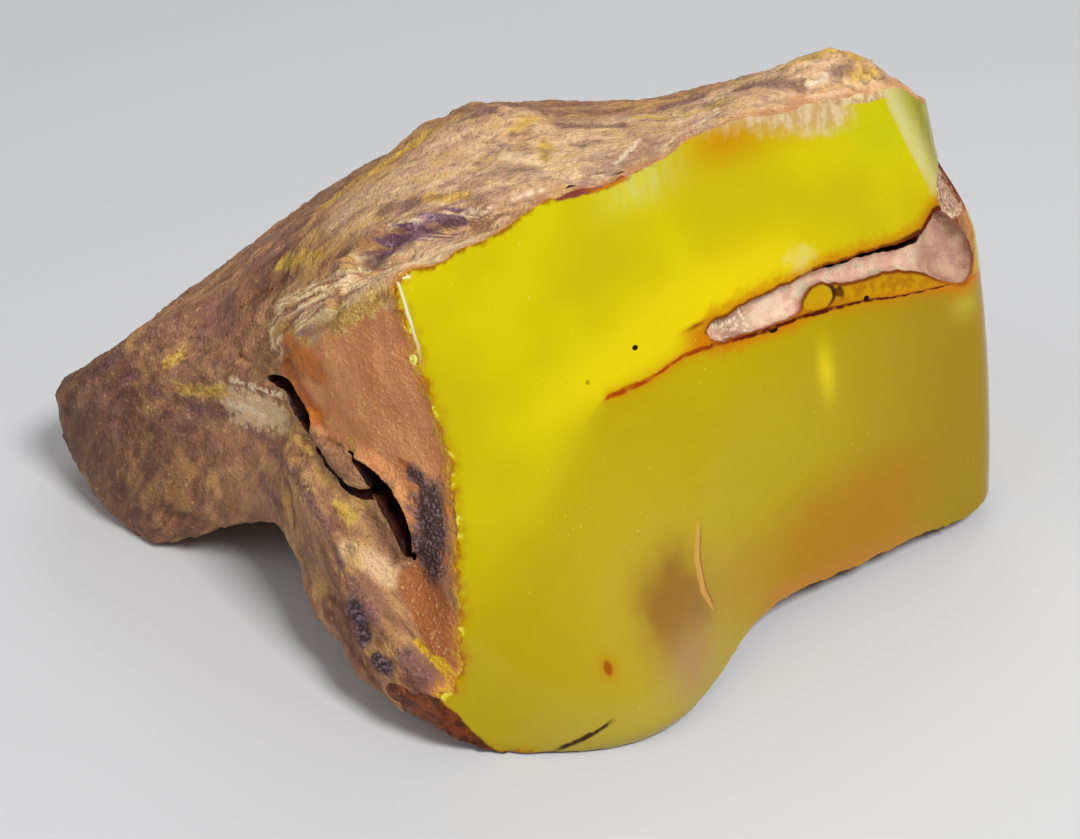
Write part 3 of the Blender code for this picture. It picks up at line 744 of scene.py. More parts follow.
LENS = [(-11.6, 22.45), (-9.8, 22.35), (-8.2, 22.3), (-6.6, 22.4), (-5.2, 22.6)]
LENS_WIDTH = 0.55


def paint_attributes(mesh):
    """Writes the fields that the materials read."""
    points = points_of(mesh)
    _, _, out = window_coords(points)
    fields = {name: nearness(points, strokes) for name, strokes in PAINT.items()}
    lens = window_points(*np.array(LENS).T, 0)
    fields["lens"] = nearness(points, [(LENS_WIDTH, *lens)])
    fields["border"] = border_distance(mesh, points, 4.0)
    fields["crack"] = crack_distance(points)
    fields["depth"] = np.clip(-out, -1, 6)
    fields["relief"] = fine_relief(points)
    for name, values in fields.items():
        attribute = mesh.attributes.new(name, "FLOAT", "POINT")
        attribute.data.foreach_set("value", values.astype(np.float32))
    attribute = mesh.attributes.new("grain", "FLOAT_VECTOR", "POINT")
    attribute.data.foreach_set("vector", grain_coords(points).astype(np.float32).ravel())


# Materials


def srgb(red, green, blue):
    """A colour given on screen's 0 to 255 scale, as the linear values that a shader takes."""
    def linear(value):
        value /= 255
        return value / 12.92 if value <= 0.04045 else ((value + 0.055) / 1.055) ** 2.4
    return (linear(red), linear(green), linear(blue), 1.0)


class Term:
    """A number, colour or place that a material works out at each point of the surface."""

    def __init__(self, graph, socket):
        self.graph = graph
        self.socket = socket

    def __add__(self, other):
        return self.graph.maths("ADD", self, other)

    def __sub__(self, other):
        return self.graph.maths("SUBTRACT", self, other)

    def __rsub__(self, other):
        return self.graph.maths("SUBTRACT", other, self)

    def __mul__(self, other):
        return self.graph.maths("MULTIPLY", self, other)

    def __truediv__(self, other):
        return self.graph.maths("DIVIDE", self, other)

    __radd__ = __add__
    __rmul__ = __mul__

    def size(self):
        return self.graph.maths("ABSOLUTE", self)

    def fading(self, width):
        """1 at 0, falling off like an exponential over this width."""
        return self.graph.maths("EXPONENT", self * (-1 / width))

    def step(self, start, end):
        """0 at start, 1 at end, with a smooth run between them."""
        return self.graph.fitted(self, start, end)


class Graph:
    """Builds one material's nodes."""

    def __init__(self, name):
        self.material = bpy.data.materials.new(name)
        self.material.use_nodes = True
        self.tree = self.material.node_tree
        self.shader = self.tree.nodes["Principled BSDF"]
        self.output = self.tree.nodes["Material Output"]
        self.colour = None
        coords = self.node("ShaderNodeTexCoord")
        scaled = self.node("ShaderNodeVectorMath", operation="SCALE")
        self.tree.links.new(coords.outputs["Object"], scaled.inputs[0])
        scaled.inputs["Scale"].default_value = 1 / MM
        self.place = Term(self, scaled.outputs[0])  # the point on the object, in millimetres

    def node(self, kind, **settings):
        made = self.tree.nodes.new(kind)
        for name, value in settings.items():
            setattr(made, name, value)
        return made

    def feed(self, socket, value):
        if isinstance(value, Term):
            self.tree.links.new(value.socket, socket)
        else:
            socket.default_value = value

    def maths(self, operation, *values):
        made = self.node("ShaderNodeMath", operation=operation)
        for socket, value in zip(made.inputs, values):
            self.feed(socket, value)
        return Term(self, made.outputs[0])

    def larger(self, first, second):
        return self.maths("MAXIMUM", first, second)

    def fitted(self, value, start, end):
        made = self.node("ShaderNodeMapRange", interpolation_type="SMOOTHSTEP")
        rising = start < end
        self.feed(made.inputs["Value"], value)
        self.feed(made.inputs["From Min"], min(start, end))
        self.feed(made.inputs["From Max"], max(start, end))
        self.feed(made.inputs["To Min"], 0.0 if rising else 1.0)
        self.feed(made.inputs["To Max"], 1.0 if rising else 0.0)
        return Term(self, made.outputs["Result"])

    def field(self, name, vector=False):
        made = self.node("ShaderNodeAttribute", attribute_name=name)
        return Term(self, made.outputs["Vector" if vector else "Fac"])

    def along(self, place, direction, origin):
        """How far a place is from the origin along a direction."""
        offset = self.node("ShaderNodeVectorMath", operation="SUBTRACT")
        self.feed(offset.inputs[0], place)
        self.feed(offset.inputs[1], tuple(origin))
        made = self.node("ShaderNodeVectorMath", operation="DOT_PRODUCT")
        self.tree.links.new(offset.outputs[0], made.inputs[0])
        self.feed(made.inputs[1], tuple(direction))
        return Term(self, made.outputs["Value"])

    def vector(self, x, y, z=0.0):
        made = self.node("ShaderNodeCombineXYZ")
        for socket, value in zip(made.inputs, (x, y, z)):
            self.feed(socket, value)
        return Term(self, made.outputs[0])

    def noise(self, place, wave, detail=2.0, rough=0.5, flat=False):
        """Noise between 0 and 1, whose lumps are about wave across."""
        made = self.node("ShaderNodeTexNoise", noise_dimensions="2D" if flat else "3D")
        self.feed(made.inputs["Vector"], place)
        self.feed(made.inputs["Scale"], 1 / wave)
        self.feed(made.inputs["Detail"], detail)
        self.feed(made.inputs["Roughness"], rough)
        return Term(self, made.outputs["Fac"])

    def cells(self, place, wave):
        """How far a place is from the nearest of scattered points about wave apart."""
        made = self.node("ShaderNodeTexVoronoi", voronoi_dimensions="3D")
        self.feed(made.inputs["Vector"], place)
        self.feed(made.inputs["Scale"], 1 / wave)
        return Term(self, made.outputs["Distance"])

    def mix(self, share, first, second):
        """The first colour turning into the second by this share. Colours that aren't worked out
        are given on screen's 0 to 255 scale."""
        made = self.node("ShaderNodeMix", data_type="RGBA")
        self.feed(made.inputs["Factor"], share)
        for socket, colour in ((made.inputs[6], first), (made.inputs[7], second)):
            self.feed(socket, colour if isinstance(colour, Term) else srgb(*colour))
        return Term(self, made.outputs[2])

    def paint(self, share, colour):
        """Lays a colour over the material's colour so far, by this share."""
        self.colour = self.mix(share, self.colour, colour)

    def curve(self, value, points):
        """The height of a curve of straight runs through the points."""
        (low, _), (high, _) = points[0], points[-1]
        heights = [height for _, height in points]
        bottom, top = min(heights), max(heights)
        made = self.node("ShaderNodeFloatCurve")
        curve = made.mapping.curves[0]
        for i, (at, height) in enumerate(points):
            spot = ((at - low) / (high - low), (height - bottom) / (top - bottom))
            if i in (0, len(points) - 1):
                point = curve.points[0 if i == 0 else -1]
                point.location = spot
            else:
                point = curve.points.new(*spot)
            point.handle_type = "VECTOR"
        made.mapping.extend = "HORIZONTAL"
        made.mapping.update()
        run = high - low
        self.feed(made.inputs["Value"], self.maths("MULTIPLY_ADD", value, 1 / run, -low / run))
        height = Term(self, made.outputs["Value"])
        return self.maths("MULTIPLY_ADD", height, top - bottom, bottom)

    def bump(self, height, distance_mm):
        made = self.node("ShaderNodeBump")
        self.feed(made.inputs["Height"], height)
        self.feed(made.inputs["Strength"], 1.0)
        self.feed(made.inputs["Distance"], distance_mm * MM)
        self.tree.links.new(made.outputs["Normal"], self.shader.inputs["Normal"])

    def set(self, **inputs):
        for name, value in inputs.items():
            self.feed(self.shader.inputs[name.replace("_", " ")], value)


class WindowGraph(Graph):
    """A material that knows where a point lies in the polished window."""

    def __init__(self, name):
        super().__init__(name)
        self.right = self.along(self.place, WINDOW_RIGHT, WINDOW_MM)
        self.up = self.along(self.place, WINDOW_UP, WINDOW_MM)
        self.flat = self.vector(self.right, self.up)

    def offsets(self, middle, spread, slope):
        """The square of how far a point is from the middle of an oval, whose edge is at 1."""
        moved = self.node("ShaderNodeMapping", vector_type="TEXTURE")
        self.feed(moved.inputs["Vector"], self.flat)
        self.feed(moved.inputs["Location"], (*middle, 0.0))
        self.feed(moved.inputs["Rotation"], (0.0, 0.0, math.atan(slope)))
        self.feed(moved.inputs["Scale"], (*spread, 1.0))
        made = self.node("ShaderNodeVectorMath", operation="DOT_PRODUCT")
        for socket in made.inputs[:2]:
            self.tree.links.new(moved.outputs[0], socket)
        return Term(self, made.outputs["Value"])

    def blob(self, middle, spread, slope=0.0):
        """1 in the middle of a soft oval, whose sides rise by slope, fading outwards."""
        return self.offsets(middle, spread, slope).fading(1.0)

    def spot(self, middle, spread, slope=0.0):
        """1 inside an oval and 0 outside it."""
        return self.offsets(middle, spread, slope).step(1.25, 0.7)

    def streaks(self, direction, wave, length, detail=2.0):
        """Noise drawn out along a direction in the window."""
        x, y = direction
        along = (self.right * x + self.up * y) / length
        across = (self.right * -y + self.up * x) / wave
        return self.noise(self.vector(along, across), 1.0, detail, 0.6, flat=True)


AMBER_IOR = 1.54
AMBER_GLOSS = 0.09  # low, because the pale studio lies as a grey haze on anything glossier
AMBER_TRANSMISSION = 0.2
AMBER_ABSORPTION = (246, 206, 60)
ABSORPTION_PER_M = 60.0
POLISHED_ROUGHNESS = 0.13
RIND_ROUGHNESS = 0.62
RIND_BUMP_MM = 0.34

# The thin red crack below the open one: right and up, and right and half its width.
THIN_CRACK = [(-28.0, -13.0), (-20.0, -3.4), (-16.5, 1.0), (-11.4, 4.6), (-6.9, 4.9), (-3.1, 5.9),
              (-0.6, 5.95), (5.0, 5.6), (10.8, 5.6), (16.4, 5.1), (19.3, 4.7), (22.2, 4.1), (27.3, 3.5),
              (33.5, 3.0)]
THIN_CRACK_HALF = [(-12.0, 0.03), (-10.8, 0.22), (-8.6, 0.24), (-6.0, 0.13), (-4.0, 0.12), (-1.5, 0.2),
                   (3.0, 0.16), (6.0, 0.24), (8.0, 0.14), (13.0, 0.2), (17.0, 0.12), (27.0, 0.07),
                   (29.5, 0.02)]
PINK_LOWER = [(0.0, 6.0), (8.6, 5.9), (10.4, 7.0), (13.0, 8.0), (14.9, 7.3), (19.3, 7.0), (21.8, 6.7),
              (24.1, 6.0), (26.0, 5.1), (27.5, 4.1), (30.5, 3.0), (33.5, 3.4)]
CHALK_LOWER = [(-1.0, 24.2), (2.4, 24.1), (4.9, 23.9), (7.7, 23.4), (9.8, 22.8), (11.9, 22.2),
               (14.0, 21.5), (17.3, 20.8), (19.8, 21.0), (22.0, 21.6), (26.0, 22.0)]
RIND_LOWER = [(13.0, 25.6), (15.5, 23.9), (19.1, 22.8), (22.7, 22.2), (25.0, 22.2), (25.8, 24.5),
              (28.0, 26.0)]
# Right at each height: the pale wedge's left edge, the left bevel with its painted highlight, and the brown
# spall at the foot.
WEDGE_LEFT = [(11.4, 28.5), (12.3, 27.9), (13.3, 27.7), (14.9, 27.1), (16.9, 26.3), (19.0, 25.6),
              (21.0, 24.9), (23.0, 24.6)]
BEVEL = [(10.5, -27.2), (13.3, -27.1), (15.0, -27.2), (17.6, -27.3), (18.9, -27.4), (20.0, -27.6)]
SPALL = [(-26.0, -25.6), (-21.9, -28.4), (-20.7, -29.2), (-19.3, -29.8), (-18.1, -30.7), (-16.7, -31.5),
         (-14.0, -33.0)]


def amber_body(g):
    """Yellow, a painted glow above the thin crack, painted olive shade below it, a painted glint."""
    right, up = g.right, g.up
    g.over = up - g.curve(right, THIN_CRACK)
    cloudy = g.noise(g.flat, 12.0, 2.0, flat=True)
    g.cloudy = cloudy
    g.fine = g.noise(g.flat, 1.2, 2.0, 0.65, flat=True)
    g.colour = g.mix(cloudy.step(0.3, 0.7), (205, 187, 0), (219, 203, 0))
    g.paint((up + right * 0.1).step(4.0, -22.0), (188, 164, 0))
    # Painted shade: the amber turns olive below the thin crack, which holds light back from it.
    softness = right.step(-9.0, -16.0) * 5.0 + 0.12
    below = (g.over / softness).step(1.0, -1.0)
    g.paint(below * 0.8, (188, 163, 0))
    g.paint(below * right.step(3.0, 30.0), (170, 138, 0))
    warm = (g.offsets((11.5, -16.5), (15.0, 7.5), 0.15) + (cloudy - 0.5) * 0.8).step(1.35, -0.3)
    g.paint(warm * 0.85, (186, 124, 0))
    g.paint(g.blob((-2.0, -16.5), (4.0, 4.0)) * 0.7, (184, 132, 0))
    # Painted glow: brighter yellow above the thin crack, where light caught by the crack lights the amber.
    above = g.over.step(0.0, 0.6)
    g.paint(g.blob((2.0, 10.4), (9.5, 3.4), 0.10) * above * 0.95, (244, 216, 0))
    g.paint(g.blob((-9.0, 7.0), (10.0, 2.6), 0.25) * above * 0.9, (238, 216, 0))
    # A painted reflection: a soft vertical yellow glint.
    g.paint(g.blob((12.2, -0.2), (0.9, 2.6)) * 0.9, (236, 212, 2))


def amber_cloud(g):
    """The brown cloud with its paler ring, the milky foot, and an orange spot."""
    broken = g.noise(g.flat, 4.0, 2.0, 0.6, flat=True)
    g.paint(g.blob((-10.0, -14.0), (10.0, 10.0)) * 0.5, (200, 172, 66))
    cloud = g.blob((-9.6, -15.0), (5.6, 6.0))
    g.paint((cloud * (0.6 + broken * 0.8)).step(0.12, 0.95), (158, 112, 40))
    foot = g.up.step(-16.0, -28.0) * g.right.step(-28.5, -22.0) * g.right.step(8.0, -4.0)
    g.paint(foot * 0.6, (186, 166, 80))
    rosy = (g.up + (broken - 0.5) * 1.5).step(-18.2, -20.4) * g.right.step(-1.0, 4.0)
    g.paint(rosy * g.right.step(27.0, 19.0) * 0.75, (196, 132, 52))
    beige = g.blob((-9.6, -20.2), (3.6, 3.4), 0.2) * (0.6 + broken * 0.6)
    g.paint(beige * 0.85, (184, 144, 92))
    g.paint(g.blob((30.4, 0.9), (1.9, 1.4)) * 0.5, (206, 196, 66))
    g.paint(g.blob((-18.0, -17.4), (0.8, 1.2)) * 0.8, (196, 128, 6))
    g.paint(g.offsets((-18.0, -17.4), (0.4, 0.75), 0.0).step(1.3, 0.2) * 0.9, (160, 78, 6))


def amber_top(g):
    """Orange under the top border, chalk and haze along it, a pale wedge at the right, and painted white
    glints.
    """
    right, up = g.right, g.up
    fibres = g.streaks((0.25, 0.97), 0.8, 2.6)
    g.paint(g.blob((6.0, 23.0), (4.6, 2.2)) * 0.95, (206, 144, 0))
    g.paint(g.blob((13.5, 22.4), (5.0, 1.6), -0.15) * 0.6, (208, 156, 6))
    haze = g.blob((-3.4, 21.6), (3.6, 1.8), 0.16) * (0.35 + fibres.step(0.3, 0.7) * 0.65)
    g.paint(haze * 0.85, (208, 202, 104))
    g.paint(g.blob((23.0, 19.6), (4.5, 2.6), -0.3) * 0.6, (196, 200, 14))
    chalk = (up - g.curve(right, CHALK_LOWER) + (fibres - 0.5) * 1.2 + (g.fine - 0.5) * 1.2).step(-0.9, 1.3)
    chalk = chalk * right.step(1.5, 4.5) * right.step(22.0, 18.5)
    chalky = g.mix((fibres + g.fine).step(0.8, 1.2), (204, 166, 118), (228, 200, 164))
    g.paint(chalk * 0.85, chalky)
    topper = (up - g.curve(right, RIND_LOWER) + (g.fine - 0.5) * 0.3).step(-0.05, 0.12)
    g.paint(topper, g.mix(g.fine.step(0.35, 0.65), (196, 156, 110), (238, 212, 158)))
    inside = right - g.curve(up, WEDGE_LEFT)
    wedge = inside.step(-0.25, 0.25) * up.step(11.4, 13.4)
    deep = inside.step(0.6, 3.4)
    pale = g.mix(deep, (216, 208, 140), (146, 142, 56))
    g.paint(wedge * (0.4 + fibres * 0.8), pale)
    # Painted highlights: white glints on the chip at the top border and on a small spot beside the haze.
    shine = g.spot((10.4, 24.6), (2.3, 0.42), -0.06) * g.fine.step(0.25, 0.45)
    shine = g.larger(shine, g.spot((-2.9, 22.9), (0.4, 0.35)))
    g.paint(shine, (252, 246, 232))
    g.chalk = g.larger(chalk, topper)


def amber_cracks(g):
    """What shows round the open crack, painted shadow under its lip, the thin red crack, and dark motes
    beside them.
    """
    right, up, over = g.right, g.up, g.over
    crack = g.field("crack")
    blotches = g.fine
    orange = (206, 122, 0)
    dark = (52, 20, 6)
    g.paint((crack - (blotches - 0.3) * 1.5).step(1.6, -0.2) * 0.8, orange)
    lip = right.step(22.0, 29.0) * crack.fading(1.3) * up.step(6.0, 8.0)
    g.paint(lip, (184, 98, 0))
    end_stain = right.step(-4.0, -1.0) * right.step(0.9, 0.2) * over.step(-0.1, 0.3) * up.step(8.6, 7.4)
    g.paint(end_stain * 0.85, orange)
    under_pink = (up - g.curve(right, PINK_LOWER)).step(0.1, 0.0)
    sliver = over.step(-0.05, 0.15) * under_pink * right.step(8.0, 13.5)
    browned = g.mix(blotches.step(0.4, 0.6), (200, 150, 0), (178, 116, 4))
    g.paint(sliver * 0.85, browned)
    rings = g.offsets((12.4, 6.75), (1.75, 1.15), 0.0) + (blotches - 0.5) * 0.5
    g.paint(rings.step(1.3, 0.95) * 0.9, (206, 164, 2))
    rim_side = (right * 0.7 - up).step(1.0, 2.6)
    g.paint(rings.step(0.8, 1.1) * rings.step(1.8, 1.3) * rim_side, dark)
    blotch = (g.blob((15.0, 6.6), (0.9, 0.8)) + (blotches - 0.5) * 0.9).step(0.4, 0.8)
    g.paint(blotch * 0.9, dark)
    # Painted shadow: near black under the overhanging upper lip at the right of the crack.
    rim = (crack + (blotches - 0.5) * 0.3).step(0.62, 0.25) * up.step(7.6, 8.2) * right.step(21.0, 25.0)
    g.paint(rim * right.step(30.0, 29.0), (44, 14, 6))
    fringe = (crack + (blotches - 0.5) * 0.35).step(0.42, 0.10)
    g.paint(fringe * 0.9, (118, 38, 2))
    off = (over + (g.fine - 0.5) * 0.35).size()
    drawn = right.step(-12.0, -11.2)
    g.paint(off.fading(0.5) * drawn * 0.85, (212, 122, 0))
    half = g.curve(right, THIN_CRACK_HALF)
    thin = (off / half).step(1.7, 0.5) * drawn * (0.55 + g.fine.step(0.3, 0.55) * 0.45)
    g.paint(thin, g.mix(right.step(-4.0, 6.0), (170, 62, 0), (86, 18, 2)))
    branch = g.blob((-1.2, 8.1), (1.3, 0.22), 0.14)
    g.paint(branch * 0.9, (150, 50, 0))
    spots = g.larger(g.spot((-7.7, 8.0), (0.3, 0.24)), g.spot((18.0, 5.1), (0.34, 0.28)))
    spots = g.larger(spots, g.spot((6.9, 5.3), (0.5, 0.2)))
    g.paint(spots, (34, 12, 4))
    g.paint(g.spot((-12.9, 6.4), (0.2, 0.22)) * 0.6, (130, 100, 0))


def amber_wear(g):
    """Scuffs, the crescent scratch, the dark crack at the foot, and specks."""
    right, up = g.right, g.up
    scuff = (g.blob((11.2, 10.8), (2.3, 1.5)) + (g.fine - 0.5) * 1.0).step(0.28, 1.1)
    g.paint(scuff * 0.7, (234, 216, 112))
    bow = g.curve(up, [(-17.8, -5.0), (-15.0, -6.0), (-12.1, -5.9), (-8.4, -4.6)])
    taper = up.step(-17.8, -15.0) * up.step(-8.4, -11.0)
    crescent = ((right - bow).size() / (taper * 0.34 + 0.02)).step(1.3, 0.6) * taper.step(0.0, 0.2)
    g.paint(crescent * 0.85, (222, 162, 82))
    edge = (right - bow - 0.42).size().step(0.16, 0.04) * taper
    g.paint(edge * 0.7, (140, 80, 18))
    foot_line = (up - g.curve(right, [(-23.3, -24.2), (-20.1, -22.9), (-18.5, -22.0)])).size()
    foot_line = foot_line + (g.fine - 0.5) * 0.5
    foot_crack = foot_line.step(0.36, 0.10) * right.step(-23.6, -22.4) * right.step(-18.2, -19.2)
    g.paint(foot_crack, (58, 36, 12))
    specks = g.noise(g.flat, 0.42, 1.0, flat=True).step(0.75, 0.85) * g.cloudy.step(0.5, 0.6)
    g.paint(specks * 0.45, (248, 236, 96))
    g.dulled = scuff * 0.3 + crescent * 0.2 + g.chalk * 0.2


def amber_border(g):
    """The glassy left edge with a painted highlight on its bevel, the spall at the foot, and the parting's
    red.
    """
    right, up = g.right, g.up
    border = g.field("border")
    crumbly = g.fine
    left = right.step(-23.5, -25.5) * up.step(20.0, 18.6)
    glow = (border + (crumbly - 0.5) * 2.0).step(1.2, 0.2) * left
    g.paint(glow * 0.6, (192, 150, 0))
    edge = (border + (crumbly - 0.5) * 1.8).step(0.35, -0.05) * left
    g.paint(edge * 0.8, (176, 98, 6))
    # A thin red line along the top border, darkened as painted shadow of the rind that overhangs it.
    top = right.step(-1.0, -4.0) * up.step(16.0, 19.0)
    red_line_and_shadow = (border + (crumbly - 0.5) * 1.2).step(0.45, -0.1) * top
    g.paint(red_line_and_shadow * 0.85, (150, 62, 4))
    lens = (g.field("lens") + (crumbly - 0.5) * 0.5).step(0.3, 0.6)
    g.paint(lens, g.mix(right.step(-9.6, -7.4), (134, 62, 50), (206, 118, 4)))
    # Painted highlight: a white reflection on the bevel along the left edge.
    bevel_offset = (right - g.curve(up, BEVEL)).size() + (g.fine - 0.5) * 0.2
    bevel = bevel_offset.step(0.17, 0.03) * up.step(11.0, 16.0) * up.step(19.3, 18.9)
    g.paint(bevel, (240, 234, 200))
    # Painted highlights: glints on the glassy chips of the left edge.
    glints = g.fine.step(0.63, 0.70) * border.step(0.6, 0.2) * left
    g.paint(glints * 0.7, (252, 236, 90))
    spall = (g.curve(up, SPALL) - right + (crumbly - 0.5) * 0.5).step(-0.1, 0.15)
    brown = g.mix(crumbly.step(0.38, 0.62), (80, 34, 10), (126, 60, 18))
    g.paint(spall * up.step(-13.5, -15.5), brown)


def amber_material():
    """Cloudy yellow amber, see-through to a few millimetres."""
    g = WindowGraph("polished_amber")
    for layer in (amber_body, amber_cloud, amber_top, amber_cracks, amber_wear, amber_border):
        layer(g)
    g.set(Base_Color=g.colour, Roughness=g.dulled + POLISHED_ROUGHNESS, IOR=AMBER_IOR)
    g.set(Specular_IOR_Level=AMBER_GLOSS, Transmission_Weight=AMBER_TRANSMISSION)
    absorb = g.node("ShaderNodeVolumeAbsorption")
    absorb.inputs["Color"].default_value = srgb(*AMBER_ABSORPTION)
    absorb.inputs["Density"].default_value = ABSORPTION_PER_M
    g.tree.links.new(absorb.outputs[0], g.output.inputs["Volume"])
    return g.material


def rind_ground(g):
    """The rind's colours: brown earth, tan on the top, darker on the tail, and umber, painted shadow at the
    tail's ledge.
    """
    patches, fibres, broad = g.patches, g.fibres, g.broad
    g.colour = g.mix(patches.step(0.34, 0.66), (148, 102, 70), (188, 138, 96))
    darker = (g.field("tail") + (broad - 0.5) * 0.8).step(0.15, 0.7)
    tail = g.mix(patches.step(0.36, 0.66), (98, 62, 46), (128, 88, 62))
    g.paint(darker * 0.95, tail)
    lighter = (g.field("tan") * 1.3 + (broad - 0.5) * 1.2).step(0.15, 0.85)
    tan = g.mix(patches.step(0.36, 0.64), (210, 166, 122), (246, 206, 156))
    g.paint(lighter * 0.92, tan)
    mottle = g.noise(g.place, 3.0, 3.0, 0.68)
    g.paint(mottle.step(0.53, 0.64) * lighter * 0.6, (166, 122, 112))
    g.paint(mottle.step(0.46, 0.37) * lighter * 0.6, (218, 178, 98))
    # Umber: dark brown patches, and painted shadow along the tail's ledge.
    umber = (g.field("umber") + (fibres - 0.5) * 0.5).step(0.2, 0.7)
    dark = g.mix(patches.step(0.4, 0.6), (114, 70, 50), (150, 102, 70))
    g.paint(umber * 0.85, dark)
    mauve = (broad + (fibres - 0.5) * 0.5).step(0.54, 0.66)
    g.paint(mauve * 0.55, (142, 98, 88))
    ochre = (broad * -1.0 + (patches - 0.5) * 0.7).step(-0.44, -0.30)
    g.paint(ochre * (1 - darker * 0.6) * 0.6, (206, 158, 84))
    g.paint(fibres.step(0.46, 0.30) * 0.45, (98, 60, 46))
    g.paint(fibres.step(0.58, 0.74) * (1 - darker * 0.6) * 0.45, (232, 192, 144))


def rind_strokes(g):
    """Mauve, ochre and pale strokes, the shell's orange-brown panel, and the purple hollow."""
    patches, fibres, grit = g.patches, g.fibres, g.grit
    ragged = (fibres - 0.5) * 1.5 + (patches - 0.5) * 0.9 + (grit - 0.5) * 0.5

    def stroke(name, start=0.1, end=0.8):
        return (g.field(name) + ragged).step(start, end) * g.field(name).step(0.0, 0.25)

    panel = (g.field("panel") + (patches - 0.5) * 0.25 + (grit - 0.5) * 0.2).step(0.18, 0.42)
    brown = g.mix(patches.step(0.30, 0.70), (202, 126, 74), (220, 150, 94))
    brown = g.mix(g.up.step(0.0, -8.0) * 0.85, brown, (154, 84, 34))
    brown = g.mix(grit.step(0.55, 0.72) * 0.5, brown, (238, 182, 126))
    g.paint(panel * 0.95, brown)
    g.panel = panel
    wine = g.mix(grit.step(0.4, 0.6), (98, 60, 60), (136, 94, 92))
    g.paint(stroke("mauve") * 0.75, wine)
    g.paint(stroke("cream", 0.15, 0.7) * 0.85, (240, 204, 156))
    bright = g.mix(fibres.step(0.4, 0.62), (196, 146, 54), (230, 190, 84))
    g.paint(stroke("ochre") * 0.8, bright)
    g.paint(stroke("lip", 0.0, 0.6) * 0.85, (236, 186, 134))
    # Pale scrapes; where they run along the ridges and the shelf edge they are painted highlight as well.
    g.paint(stroke("pale", 0.2, 0.9) * 0.85, (246, 222, 186))
    scales = g.mix((fibres + grit * 0.5).step(0.76, 0.92), (94, 58, 90), (166, 130, 158))
    middle = (0, 0, 0)
    along = g.along(g.place, GRAIN_STRANDS, middle) / 16
    lines = g.noise(g.vector(g.along(g.place, STRANDS_ACROSS, middle), along), 0.6, 2.0, 0.6, flat=True)
    hollow = (g.field("hollow") + (lines - 0.5) * 2.2 + (fibres - 0.5) * 0.8).step(0.1, 0.6)
    g.paint(hollow * g.field("hollow").step(0.0, 0.2) * 0.85, scales)
    strands = (g.field("strands") + (fibres - 0.5) * 0.4).step(0.05, 0.5)
    golden = g.mix(patches.step(0.4, 0.6), (228, 178, 138), (224, 176, 92))
    g.paint(strands * 0.75, golden)
    g.paint(strands * lines.step(0.48, 0.58) * 0.9, (255, 228, 170))
    g.paint(strands * lines.step(0.45, 0.35) * 0.7, (140, 88, 92))
    crumbs = (g.field("crumbs") + (grit - 0.5) * 1.6 + (patches - 0.5) * 1.2).step(0.2, 0.8)
    gold = g.mix(grit.step(0.4, 0.7), (184, 130, 44), (240, 208, 112))
    g.paint(crumbs * 0.85, gold)


def rind_material():
    """The weathered rind: brown, tan and mauve, ochre flecks, pale scrapes, painted highlights and painted
    shade.
    """
    g = WindowGraph("weathered_rind")
    grain = g.field("grain", vector=True)
    relief = g.field("relief")
    g.broad = g.noise(g.place, 8.0, 2.0, 0.62)
    g.patches = g.noise(grain, 2.2, 3.0, 0.62)
    g.fibres = g.noise(grain, 0.75, 3.0, 0.66)
    g.grit = g.noise(g.place, 0.38, 2.0, 0.7)
    patches, fibres, grit = g.patches, g.fibres, g.grit
    rind_ground(g)
    rind_strokes(g)

    # Painted highlight on the crests and painted shade in the hollows of the relief, and grit over all of
    # it.
    g.paint(relief.step(-0.02, -0.34) * 0.6, (78, 46, 36))
    g.paint(relief.step(0.08, 0.36) * 0.35, (236, 198, 148))
    g.paint(grit.step(0.42, 0.28) * (1 - g.panel * 0.7) * 0.5, (92, 56, 42))
    g.paint(grit.step(0.62, 0.80) * 0.4, (238, 200, 150))

    ember = (g.field("ember") + (fibres - 0.5) * 1.4 + (grit - 0.5) * 0.4).step(0.05, 0.8)
    rust = g.mix(patches.step(0.4, 0.6), (212, 116, 6), (164, 78, 8))
    g.paint(ember * 0.85, rust)
    chip = (g.field("chip") + (grit - 0.5) * 0.25).step(0.30, 0.42)
    chip = g.larger(chip, g.field("border").step(1.6, 1.0) * g.up.step(-17.2, -18.0))
    g.paint(chip, g.mix(fibres.step(0.4, 0.6), (78, 34, 12), (124, 60, 20)))
    seam = (g.field("seam") + (grit - 0.5) * 0.4).step(0.3, 0.6)
    g.paint(seam, (206, 164, 16))
    specks = (patches - 0.5) * 1.2 + (fibres - 0.5) * 1.2 + (grit - 0.5) * 0.9
    sooty = (g.field("soot") + specks).step(0.1, 0.6)
    sooty = sooty * g.field("soot").step(0.0, 0.2)
    soot = g.mix(grit.step(0.48, 0.64), (36, 20, 30), (134, 108, 118))
    g.paint(sooty * 0.92, soot)

    # Amber shows where the rind is thin beside the window, and in the parting at the top; a painted glint
    # by the bevel.
    border = g.field("border")
    left = g.right.step(-23.5, -25.5) * (1 - chip)
    thin = (border + (patches - 0.5) * 1.8 + (grit - 0.5) * 0.9).step(0.8, 0.2) * left
    g.paint(thin, g.mix(fibres.step(0.42, 0.58), (192, 126, 8), (226, 196, 20)))
    warm = (border + (patches - 0.5) * 2.2 + (grit - 0.5)).step(1.7, 0.3)
    g.paint(warm * (1 - chip) * 0.5, (206, 128, 62))
    # Painted highlight: a bright yellow-white glint at the lower end of the bevel.
    glint = g.spot((-27.45, 12.4), (0.22, 0.5)) * border.step(3.0, 2.0)
    g.paint(glint * grit.step(0.3, 0.42), (255, 246, 120))
    lens = (g.field("lens") + (grit - 0.5) * 0.4).step(0.5, 0.75)
    g.paint(lens, (150, 76, 40))

    gloss = g.larger(g.larger(thin, ember * 0.4), chip)
    g.set(Base_Color=g.colour, Roughness=RIND_ROUGHNESS - gloss * 0.38, IOR=1.5, Specular_IOR_Level=0.35)
    g.bump(grit, RIND_BUMP_MM)
    return g.material


